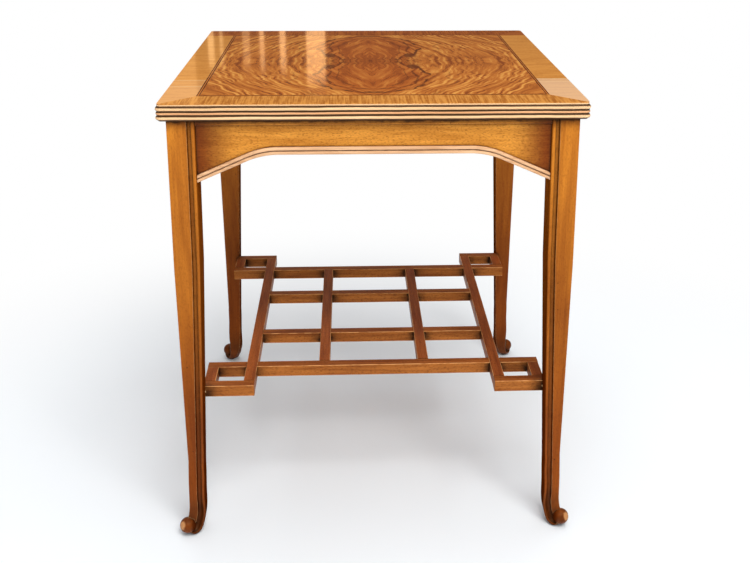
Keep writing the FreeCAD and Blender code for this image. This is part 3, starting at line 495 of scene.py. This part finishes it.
def dyed_stringing(colours):
    """Dyed pearwood and boxwood lines let in between leaves and crossbanding.

    The eye gets two dark lines with a lighter one between at the sides, and
    what looks like a single thin line at the front and back.
    """
    material, tree = new_finish("Dyed pearwood stringing, French polished")
    place = mirrored_place(tree, place_in_mm(tree))
    across = node(tree, "SeparateXYZ", {"Vector": place}, out="X")
    along = across.node.outputs["Y"]
    low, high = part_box("stringing_right")
    inner, outer = low.x / MM, high.x / MM
    middle, width = (inner + outer) / 2, outer - inner
    double = node(tree, "MapRange",
        (gap(tree, across, middle), width * 0.10, width * 0.20, 0.12, 1.0), **SMOOTH)
    single = node(tree, "MapRange",
        (gap(tree, along, middle), width * 0.10, width * 0.24, 0.35, 0.95), **SMOOTH)
    at_side = node(tree, "Math", (across, along), operation="GREATER_THAN")
    share = node(tree, "Mix", {"Factor": at_side, "A": single, "B": double})
    uneven = figure(tree, place, (24.0, 24.0, 1.0), 2, 0.0, 6.0)
    patchy = node(tree, "MapRange", (uneven, 0.3, 0.6, 0.75, 1.0), **SMOOTH)
    share = node(tree, "Math", (share, patchy), operation="MULTIPLY")
    colour = node(tree, "Mix",
        {"Factor": share, "A": linear(colours.figure_mid), "B": linear("#4F220A")}, **PAINT)
    soft = node(tree, "NewGeometry", out="Normal")
    polish(tree, colour, soft, uneven, 0.02, (0.10, 0.14), 0.25)
    return material


def reeded_edge(colours, along):
    """Pale satinwood reeds run with a moulding plane, with shade painted into their grooves.

    The eye gets three honey coloured reeds with near black lines of painted shade
    between, the middle one pinker, a pale arris above the dark painted quirk, and a painted shadow
    below the last reed.
    """
    material, tree = new_finish("Satinwood reeding along %s, stained grooves" % along)
    place = place_in_mm(tree)
    painted_shade_colour = linear("#3B1D0A")
    colour, fine = timber(tree, place, along, linear(colours.moulding_dark),
                          linear(colours.moulding_light), 3.0, 160.0, 5.0)
    uneven = figure(tree, place, (55.0, 55.0, 30.0), 2, 0.0, 19.0)
    uneven = node(tree, "MapRange", (uneven, 0.3, 0.7, -0.25, 0.25), **SMOOTH)
    height = node(tree, "SeparateXYZ", {"Vector": place}, out="Z")
    height = node(tree, "Math", (height, uneven), operation="ADD")
    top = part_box("edge_moulding_right")[1].z / MM
    pale = node(tree, "MapRange", (height, top - 3.2, top - 2.4), **SMOOTH)
    for middle, half in REEDS:
        off = gap(tree, height, middle)
        crest = node(tree, "MapRange", (off, half * 0.72, half * 0.42), **SMOOTH)
        pale = node(tree, "Math", (pale, crest), operation="MAXIMUM")
    # painted shadow on the edge below its last reed
    under = node(tree, "MapRange", (height, *EDGE_SHADED, 0.0, 0.8), **SMOOTH)
    colour = node(tree, "Mix", {"Factor": under, "A": colour, "B": painted_shade_colour}, **PAINT)
    middle, half = REEDS[1]
    pink = node(tree, "MapRange", (gap(tree, height, middle), half, 0.0, 0.0, 0.8), **SMOOTH)
    colour = node(tree, "Mix", {"Factor": pink, "A": colour, "B": linear("#EFC9B4")}, **STAIN)
    # painted shade in the grooves between the reeds and in the quirk
    groove = node(tree, "Math", (1.0, pale), operation="SUBTRACT")
    groove = node(tree, "Math", (groove, 0.95), operation="MULTIPLY")
    colour = node(tree, "Mix", {"Factor": groove, "A": colour, "B": painted_shade_colour}, **PAINT)
    rounded = node(tree, "Bevel", {"Radius": 0.5 * MM}, samples=4)
    polish(tree, colour, rounded, fine, 0.08, (0.32, 0.46), 0.35)
    return material


# Finishes of the frame

def shaded_under_top(tree, place, colour):
    """Painted shadow close under the edge of the top: a brown shade, near black at the very top.
    """
    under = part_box("edge_moulding_right")[0].z / MM
    height = node(tree, "SeparateXYZ", {"Vector": place}, out="Z")
    smoky = figure(tree, place, (18.0, 18.0, 8.0), 2, 0.4, 61.0)
    height = node(tree, "Math", (smoky, 8.0, height), operation="MULTIPLY_ADD")
    # brown painted shade reaching down from under the top
    shade_under_edge = node(tree, "MapRange", (height, under - 15.0, under + 2.0, 0.0, 0.6), **SMOOTH)
    colour = node(tree, "Mix", {"Factor": shade_under_edge, "A": colour, "B": linear("#8A5A34")}, **STAIN)
    # near black painted shadow right under the edge of the top
    black = node(tree, "MapRange", (height, under - 2.5, under + 2.0, 0.0, 0.92), **SMOOTH)
    return node(tree, "Mix", {"Factor": black, "A": colour, "B": linear("#2A1206")}, **PAINT)


def apron_timber(colours, along):
    """Satinwood apron boards, planed and polished, handled for a hundred years.

    The eye gets a fine mottle with dark pores in golden wood, painted brown shade
    next to the legs, a painted shadow under the top and near black polish in the corners.
    """
    material, tree = new_finish("Satinwood apron boards along %s, polished" % along)
    place = place_in_mm(tree)
    dark, light = linear(colours.apron_dark), linear(colours.apron_light)
    colour, fine = timber(tree, place, along, dark, light, 4.0, 60.0, 3.0)
    colour = flecked(tree, place, mottled(tree, place, along, colour, linear("#7A3C0E")))
    outwards = node(tree, "SeparateXYZ", {"Vector": mirrored_place(tree, place)}, out=along)
    smoky = figure(tree, place, (12.0, 12.0, 12.0), 3, 0.4, 53.0)
    outwards = node(tree, "Math", (smoky, 16.0, outwards), operation="MULTIPLY_ADD")
    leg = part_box("leg_front_right")[0].x / MM
    first, last = APRON_SHADE_NEAR_LEGS
    # painted shade where the apron meets each leg
    brown = node(tree, "MapRange", (outwards, leg + first, leg + last, 0.0, 0.95), **SMOOTH)
    colour = node(tree, "Mix", {"Factor": brown, "A": colour, "B": linear("#8C5A34")}, **STAIN)
    colour = shaded_under_top(tree, place, colour)
    colour, rounded = aged(tree, place, colour, linear(colours.patina), linear(colours.rubbed),
                           12.0, 0.9, 0.4)
    polish(tree, colour, rounded, fine)
    return material


def trim_timber(colours, along):
    """Pale satinwood reeding, scratched with a small cutter and rubbed by hands.

    The eye gets honey pink reeds with brown between them.
    """
    material, tree = new_finish("Satinwood reeding along %s, scratched and polished" % along)
    place = place_in_mm(tree)
    colour, fine = timber(tree, place, along, linear(colours.trim_dark),
                          linear(colours.trim_light), 2.0, 70.0, 41.0)
    colour, rounded = aged(tree, place, colour, linear("#5A3014"), linear("#FFE6C8"),
                           4.0, 0.9, 0.6, 0.8)
    polish(tree, colour, rounded, fine)
    return material


def mottled(tree, place, along, colour, dark, strength=0.6):
    """The colour with the small broken mottle of satinwood, a few millimetres across."""
    mottle = figure(tree, place, long_grain(along, 2.0, 4.5), 3, 0.4, 47.0)
    mottle = node(tree, "MapRange", (mottle, 0.46, 0.72, 0.0, strength), **SMOOTH)
    return node(tree, "Mix", {"Factor": mottle, "A": colour, "B": dark}, **PAINT)


def flecked(tree, place, colour):
    """The colour with small dark dents and worm holes, a few to a hand's width."""
    cells = node(tree, "TexVoronoi", {"Vector": place, "Scale": 1 / 26.0}, out="Distance")
    spot = node(tree, "MapRange", (cells, 0.060, 0.025, 0.0, 0.8), **SMOOTH)
    return node(tree, "Mix", {"Factor": spot, "A": colour, "B": linear("#2C1206")}, **PAINT)


def leg_timber(colours):
    """Satinwood legs, shaped by hand, growing darker down to the feet.

    The eye gets streaks that run down the leg, a dark cove beside a paler bead, painted shade
    on the inner faces and under the top, brown feet and a pale worn spot on each front toe.
    """
    material, tree = new_finish("Satinwood legs, hand shaped and polished")
    place = place_in_mm(tree)
    colour, fine = timber(tree, place, "Z", linear(colours.leg_dark), linear(colours.leg_light),
                          8.0, 190.0, 9.0, 0.15)
    colour = flecked(tree, place, mottled(tree, place, "Z", colour, linear("#7A3A10"), 0.35))
    height = node(tree, "SeparateXYZ", {"Vector": place}, out="Z")
    lower = node(tree, "MapRange", (height, *LEG_BROWNED, 0.0, 0.95), **SMOOTH)
    colour = node(tree, "Mix", {"Factor": lower, "A": colour, "B": linear("#AC866C")}, **STAIN)
    # painted shade on the inner faces, which look across at the next leg
    inside = faces_across(tree, place)
    shade = node(tree, "Math", (inside, 0.8), operation="MULTIPLY")
    colour = node(tree, "Mix", {"Factor": shade, "A": colour, "B": linear("#9A7C68")}, **STAIN)
    colour = shaded_under_top(tree, place, colour)
    smoky = figure(tree, place, (9.0, 9.0, 12.0), 3, 0.5, 43.0)
    smoky = node(tree, "MapRange", (smoky, 0.35, 0.6, 0.6, 1.0), **SMOOTH)
    foot = node(tree, "MapRange", (height, *FOOT_DARKENED, 0.0, 0.6), **SMOOTH)
    foot = node(tree, "Math", (foot, smoky), operation="MULTIPLY")
    colour = node(tree, "Mix", {"Factor": foot, "A": colour, "B": linear("#3A1A0A")}, **PAINT)
    colour, rounded = aged(tree, place, colour, linear(colours.patina), linear(colours.rubbed),
                           10.0, 0.9, 0.5, 1.6)
    toe = toe_spot(tree, place)
    colour = node(tree, "Mix", {"Factor": toe, "A": colour, "B": linear("#C98F5C")}, **PAINT)
    dull = node(tree, "MapRange", (inside, 0.0, 0.8, 0.25, 0.0), **SMOOTH)
    polish(tree, colour, rounded, fine, 0.10, (0.38, 0.52), dull)
    return material


def faces_across(tree, place):
    """How squarely a surface looks at the leg across, to the left or right, from 0 to 1."""
    across = node(tree, "VectorMath", {0: place, 1: (-1.0, 0.0, 0.0)}, operation="MULTIPLY")
    across = node(tree, "VectorMath", {0: across}, operation="NORMALIZE")
    normal = node(tree, "NewGeometry", out="Normal")
    turn = node(tree, "VectorMath", {0: across, 1: normal}, out="Value", operation="DOT_PRODUCT")
    return node(tree, "MapRange", (turn, 0.45, 0.85), **SMOOTH)


def toe_spot(tree, place):
    """The worn oval on the front of each front toe, from 0 to 1."""
    across = node(tree, "SeparateXYZ", {"Vector": place}, out="X")
    deep, height = across.node.outputs["Y"], across.node.outputs["Z"]
    folded = node(tree, "CombineXYZ",
        {"X": node(tree, "Math", (across,), operation="ABSOLUTE"), "Y": deep, "Z": height})
    off = node(tree, "VectorMath", {0: folded, 1: TOE_SPOT}, operation="SUBTRACT")
    off = node(tree, "VectorMath", {0: off, 1: (1.0, 1.0, 0.75)}, operation="MULTIPLY")
    distance = node(tree, "VectorMath", {0: off}, out="Value", operation="LENGTH")
    ragged = figure(tree, place, (4.0, 4.0, 4.0), 2, 0.0, 51.0)
    distance = node(tree, "Math", (ragged, 3.0, distance), operation="MULTIPLY_ADD")
    return node(tree, "MapRange", (distance, *TOE_SPOT_RADII, 0.0, 0.85), **SMOOTH)


def off_square(tree):
    """How far a surface has rounded away from a rail's flat faces, from 0 to 1."""
    normal = node(tree, "NewGeometry", out="Normal")
    normal = node(tree, "VectorMath", {0: normal}, operation="ABSOLUTE")
    first = node(tree, "SeparateXYZ", {"Vector": normal}, out="X")
    largest = node(tree, "Math", (first, first.node.outputs["Y"]), operation="MAXIMUM")
    largest = node(tree, "Math", (largest, first.node.outputs["Z"]), operation="MAXIMUM")
    return node(tree, "MapRange", (largest, 0.99, 0.86), **SMOOTH)


def shelf_timber(colours, along):
    """Satinwood rails, browner on their upper faces.

    The eye gets reddish brown upper faces, lighter sides, bright arrises and
    black polish in every joint.
    """
    material, tree = new_finish("Satinwood shelf rails along %s, browned" % along)
    place = place_in_mm(tree)
    dark, light = {"X": (colours.shelf_dark, colours.shelf_light),
                   "Y": (colours.rail_dark, colours.rail_light)}[along]
    colour, fine = timber(tree, place, along, linear(dark), linear(light), 4.0, 90.0, 15.0)
    upright = node(tree, "NewGeometry", out="Normal")
    upright = node(tree, "SeparateXYZ", {"Vector": upright}, out="Z")
    top = node(tree, "MapRange", (upright, 0.5, 0.95, 0.0, 0.3), **SMOOTH)
    colour = node(tree, "Mix", {"Factor": top, "A": colour, "B": linear("#E0A480")}, **STAIN)
    colour = mottled(tree, place, along, colour, linear("#4A200C"), 0.5)
    patchy = figure(tree, place, (20.0, 20.0, 20.0), 3, 0.0, 31.0)
    patchy = node(tree, "MapRange", (patchy, 0.35, 0.6, 0.55, 1.0), **SMOOTH)
    dirt = node(tree, "Math", (corners_of(tree, 34.0, 0.97, 0.58), patchy), operation="MULTIPLY")
    colour = node(tree, "Mix", {"Factor": dirt, "A": colour, "B": linear(colours.patina)}, **PAINT)
    worn = figure(tree, place, (18.0, 18.0, 18.0), 2, 0.0, 57.0)
    worn = node(tree, "MapRange", (worn, 0.36, 0.6, 0.3, 0.95), **SMOOTH)
    worn = node(tree, "Math", (off_square(tree), worn), operation="MULTIPLY")
    colour = node(tree, "Mix", {"Factor": worn, "A": colour, "B": linear("#E2A468")}, **PAINT)
    rounded = node(tree, "Bevel", {"Radius": 1.1 * MM}, samples=4)
    polish(tree, colour, rounded, fine, 0.12, (0.36, 0.5), 0.2)
    return material


def sawn_pine():
    """Pine left from the saw, gone brown with age, where nobody looks.

    The eye gets dull brown boards with saw marks across the grain.
    """
    material, tree = new_finish("Sawn pine, unpolished")
    place = place_in_mm(tree)
    colour = timber(tree, place, "X", linear("#7A5430"), linear("#B98C58"), 6.0, 200.0, 25.0)[0]
    marks = figure(tree, place, (2.5, 60.0, 60.0), 2, 0.0, 27.0)
    cut = node(tree, "MapRange", (marks, 0.45, 0.6, 0.0, 0.3), **SMOOTH)
    colour = node(tree, "Mix", {"Factor": cut, "A": colour, "B": linear("#6A4524")}, **PAINT)
    colour, rounded = aged(tree, place, colour, linear("#2A1A0E"), linear("#C9A274"),
                           12.0, 0.6, 0.3)
    polish(tree, colour, rounded, marks, 0.3, (0.75, 0.9), 0.0)
    return material


def aged_steel():
    """Steel screws, turned and slotted long ago, dulled by a film of rust.

    The eye gets dark grey heads with brown blooms.
    """
    material, tree = new_finish("Aged steel screws, turned")
    rust = figure(tree, place_in_mm(tree), (1.6, 1.6, 1.6), 3, 0.2, 33.0)
    bloom = node(tree, "MapRange", (rust, 0.45, 0.65), **SMOOTH)
    bare = node(tree, "MapRange", (rust, 0.45, 0.65, 1.0, 0.1), **SMOOTH)
    rough = node(tree, "MapRange", (rust, 0.3, 0.7, 0.35, 0.8), **SMOOTH)
    colour = node(tree, "Mix",
        {"Factor": bloom, "A": linear("#8B8782"), "B": linear("#6A3F25")}, **PAINT)
    shader = node(tree, "BsdfPrincipled",
        {"Base Color": colour, "Metallic": bare, "Roughness": rough})
    node(tree, "OutputMaterial", {"Surface": shader})
    return material


def beech_dowel():
    """Turned beech, raw.

    The eye gets a pale pinkish rod with short brown flecks.
    """
    material, tree = new_finish("Turned beech dowels, raw")
    place = place_in_mm(tree)
    colour, fine = timber(tree, place, "X", linear("#B98A5C"), linear("#DDB88A"), 2.0, 30.0, 35.0)
    soft = node(tree, "NewGeometry", out="Normal")
    polish(tree, colour, soft, fine, 0.1, (0.6, 0.75), 0.0)
    return material


# Operators, one for each group of like pieces

class TABLE_OT_leaves(bpy.types.Operator):
    """Finish the four matched leaves of the top"""

    bl_idname = "table.leaves"
    bl_label = "Finish the leaves"

    def execute(self, context):
        material = figured_satinwood(context.scene.table_finish)
        dress(material, *["veneer_leaf_" + corner for corner in CORNERS])
        return {"FINISHED"}


class TABLE_OT_bands(bpy.types.Operator):
    """Finish the crossbanding round the leaves"""

    bl_idname = "table.bands"
    bl_label = "Finish the crossbanding"

    def execute(self, context):
        colours = context.scene.table_finish
        ends = crossbanding(colours, "Y", 2.6, 1.0, ())
        dress(ends, "crossband_front", "crossband_back")
        sides = crossbanding(colours, "X", 6.0, 0.45, BAND_JOINTS)
        dress(sides, "crossband_right", "crossband_left")
        return {"FINISHED"}


class TABLE_OT_strings(bpy.types.Operator):
    """Finish the inlaid lines"""

    bl_idname = "table.strings"
    bl_label = "Finish the stringing"

    def execute(self, context):
        material = dyed_stringing(context.scene.table_finish)
        dress(material, *["stringing_" + side for side in SIDES])
        return {"FINISHED"}


class TABLE_OT_edge(bpy.types.Operator):
    """Finish the reeded edge of the top"""

    bl_idname = "table.edge"
    bl_label = "Finish the reeded edge"

    def execute(self, context):
        colours = context.scene.table_finish
        dress(reeded_edge(colours, "X"), "edge_moulding_front", "edge_moulding_back")
        dress(reeded_edge(colours, "Y"), "edge_moulding_right", "edge_moulding_left")
        return {"FINISHED"}


class TABLE_OT_aprons(bpy.types.Operator):
    """Finish the aprons with their reeding and beads"""

    bl_idname = "table.aprons"
    bl_label = "Finish the aprons"

    def execute(self, context):
        colours = context.scene.table_finish
        for along, sides in (("X", ("front", "back")), ("Y", ("right", "left"))):
            board = apron_timber(colours, along)
            dress(board, *["apron_" + side for side in sides])
            dress(board, *["frieze_bead_" + side for side in sides])
            dress(trim_timber(colours, along), *["arch_reeding_" + side for side in sides])
        return {"FINISHED"}


class TABLE_OT_legs(bpy.types.Operator):
    """Finish the four legs"""

    bl_idname = "table.legs"
    bl_label = "Finish the legs"

    def execute(self, context):
        dress(leg_timber(context.scene.table_finish), *["leg_" + corner for corner in CORNERS])
        return {"FINISHED"}


class TABLE_OT_shelf(bpy.types.Operator):
    """Finish the rails of the lattice shelf"""

    bl_idname = "table.shelf"
    bl_label = "Finish the shelf"

    def execute(self, context):
        colours = context.scene.table_finish
        across = ["shelf_rail_front", "shelf_rail_back", "inner_rail_front", "inner_rail_back"]
        across += ["end_rail_" + corner for corner in CORNERS]
        deep = ["shelf_rail_left", "shelf_rail_right", "inner_rail_left", "inner_rail_right"]
        deep += ["outer_rail_" + corner for corner in CORNERS]
        dress(shelf_timber(colours, "X"), *across)
        dress(shelf_timber(colours, "Y"), *deep)
        return {"FINISHED"}


class TABLE_OT_underside(bpy.types.Operator):
    """Finish what only shows from below"""

    bl_idname = "table.underside"
    bl_label = "Finish the underside"

    def execute(self, context):
        dress(sawn_pine(), "top_core", *["screw_block_" + side for side in SIDES])
        dress(aged_steel(), "top_screws")
        dress(beech_dowel(), "shelf_dowels")
        return {"FINISHED"}


class TABLE_OT_stage(bpy.types.Operator):
    """Lay the floor, hang the lamps and set up the camera"""

    bl_idname = "table.stage"
    bl_label = "Set the stage"

    def execute(self, context):
        settings = context.scene.table_stage
        lay_floor(settings)
        light_room(settings)
        for name, place, size, power, warmth, mirrored in LAMPS:
            hang_lamp(name, place, size, power * settings.lamp_power, warmth, mirrored)
        for number, pane in enumerate(PANES):
            hang_pane("Window pane %d" % (number + 1), *pane)
        set_camera(settings)
        context.scene.view_settings.view_transform = "Standard"
        return {"FINISHED"}


def lay_floor(settings):
    """A wide sheet of pale paper that holds the shadow, and looks white further out.

    The white is only seen, directly or in the polish, and lights nothing.
    """
    bpy.ops.mesh.primitive_grid_add(x_subdivisions=4, y_subdivisions=4, size=FLOOR_SIZE)
    floor = bpy.context.object
    floor.name = "Floor"
    material, tree = new_finish("Matt paper sweep")
    place = place_in_mm(tree)
    grain = figure(tree, place, (3.0, 3.0, 3.0), 2)
    grain = node(tree, "MapRange", (grain, 0.3, 0.7, 0.0, 0.02), **SMOOTH)
    colour = node(tree, "Mix",
        {"Factor": grain, "A": linear(settings.floor_colour), "B": linear("#E8E6E3")}, **PAINT)
    paper = node(tree, "BsdfPrincipled",
        {"Base Color": colour, "Roughness": 0.9, "Specular IOR Level": 0.2})
    reach = settings.shadow_reach / MM
    away = node(tree, "VectorMath", {0: place, 1: (0.0, SHADE_MIDDLE / MM, 0.0)},
        operation="SUBTRACT")
    away = node(tree, "VectorMath", {0: away}, out="Value", operation="LENGTH")
    away = node(tree, "MapRange", (away, reach * SHADE_CORE, reach), **SMOOTH)
    rays = node(tree, "LightPath", out="Is Camera Ray").node.outputs
    seen = node(tree, "Math", (rays["Is Camera Ray"], rays["Is Glossy Ray"]), operation="ADD")
    seen = node(tree, "Math", (seen, rays["Is Transmission Ray"]), operation="ADD",
        use_clamp=True)
    share = node(tree, "Math", (away, seen), operation="MULTIPLY")
    white = node(tree, "Emission", {"Color": linear("#FFFFFF"), "Strength": 1.0})
    shader = node(tree, "MixShader", {0: share, 1: paper, 2: white})
    node(tree, "OutputMaterial", {"Surface": shader})
    floor.data.materials.append(material)


def light_room(settings):
    """A plain room, dim at eye level and bright overhead."""
    world = bpy.data.worlds.new("Studio")
    world.use_nodes = True
    tree = world.node_tree
    tree.nodes.clear()
    way = node(tree, "TexCoord", out="Generated")
    rise = node(tree, "SeparateXYZ", {"Vector": way}, out="Z")
    strength = node(tree, "MapRange",
        (rise, *WALL_TO_CEILING, settings.room_wall, settings.room_light), **SMOOTH)
    glow = node(tree, "Background", {"Color": linear("#FFFFFF"), "Strength": strength})
    node(tree, "OutputWorld", {"Surface": glow})
    bpy.context.scene.world = world


def hang_lamp(name, place, size, power, warmth, mirrored):
    """A square soft box that faces the table, and may be left out of its polish.

    The low one is: seen from behind, the top would mirror it and look white.
    """
    bpy.ops.object.light_add(type="AREA", location=place)
    lamp = bpy.context.object
    lamp.name = name
    lamp.data.shape = "SQUARE"
    lamp.data.size = size
    lamp.data.energy = power
    lamp.data.color = linear(warmth)[:3]
    aim = Vector(LAMP_AIM) - Vector(place)
    lamp.rotation_euler = aim.to_track_quat("-Z", "Y").to_euler()
    lamp.visible_glossy = mirrored


def hang_pane(name, left, right, low, high, strength, warmth):
    """An upright pane of daylight behind the table, seen only in its polish."""
    middle = ((left + right) / 2, PANE_DISTANCE, (low + high) / 2)
    bpy.ops.object.light_add(type="AREA", location=middle)
    pane = bpy.context.object
    pane.name = name
    pane.data.shape = "RECTANGLE"
    pane.data.size = right - left
    pane.data.size_y = high - low
    pane.data.energy = strength * pi * (right - left) * (high - low)
    pane.data.color = linear(warmth)[:3]
    pane.rotation_euler = Vector((0.0, -1.0, 0.0)).to_track_quat("-Z", "Y").to_euler()
    pane.visible_camera = False


def set_camera(settings):
    """The camera, with the small shift that puts the table where it stands in the frame."""
    bpy.ops.object.camera_add()
    camera = bpy.context.object
    camera.name = "Camera"
    yaw, pitch, roll = settings.yaw, settings.pitch, settings.roll
    ahead = Vector((sin(yaw) * cos(pitch), cos(yaw) * cos(pitch), -sin(pitch)))
    right = Vector((cos(yaw), -sin(yaw), 0.0))
    up = right.cross(ahead)
    leaned = cos(roll) * right + sin(roll) * up
    upright = cos(roll) * up - sin(roll) * right
    turn = Matrix((leaned, upright, -ahead)).transposed().to_4x4()
    camera.matrix_world = Matrix.Translation(Vector(settings.place)) @ turn
    width, height = settings.frame_px
    lens = camera.data
    lens.sensor_fit = "HORIZONTAL"
    lens.lens = settings.focal_px / width * lens.sensor_width
    lens.shift_x = (width / 2 - settings.centre_px[0]) / width
    lens.shift_y = (settings.centre_px[1] - height / 2) / width
    bpy.context.scene.camera = camera


OPERATORS = (
    TABLE_OT_leaves, TABLE_OT_bands, TABLE_OT_strings, TABLE_OT_edge, TABLE_OT_aprons,
    TABLE_OT_legs, TABLE_OT_shelf, TABLE_OT_underside, TABLE_OT_stage,
)


class TABLE_PT_finisher(bpy.types.Panel):
    """Every step of the table's finish, in order"""

    bl_idname = "TABLE_PT_finisher"
    bl_label = "Occasional table"
    bl_space_type = "VIEW_3D"
    bl_region_type = "UI"
    bl_category = "Table"

    def draw(self, context):
        for operator in OPERATORS:
            self.layout.operator(operator.bl_idname)
        for settings in (context.scene.table_finish, context.scene.table_stage):
            column = self.layout.column()
            for name in settings.__annotations__:
                column.prop(settings, name)


CLASSES = (FinishSettings, StageSettings, *OPERATORS, TABLE_PT_finisher)


def register():
    for item in CLASSES:
        bpy.utils.register_class(item)
    bpy.types.Scene.table_finish = bpy.props.PointerProperty(type=FinishSettings)
    bpy.types.Scene.table_stage = bpy.props.PointerProperty(type=StageSettings)


def unregister():
    del bpy.types.Scene.table_stage
    del bpy.types.Scene.table_finish
    for item in reversed(CLASSES):
        bpy.utils.unregister_class(item)


def main():
    """Finish the whole table."""
    register()
    bpy.ops.object.select_all(action="DESELECT")
    bpy.ops.table.leaves()
    bpy.ops.table.bands()
    bpy.ops.table.strings()
    bpy.ops.table.edge()
    bpy.ops.table.aprons()
    bpy.ops.table.legs()
    bpy.ops.table.shelf()
    bpy.ops.table.underside()
    bpy.ops.table.stage()


if __name__ == "__main__":
    main()
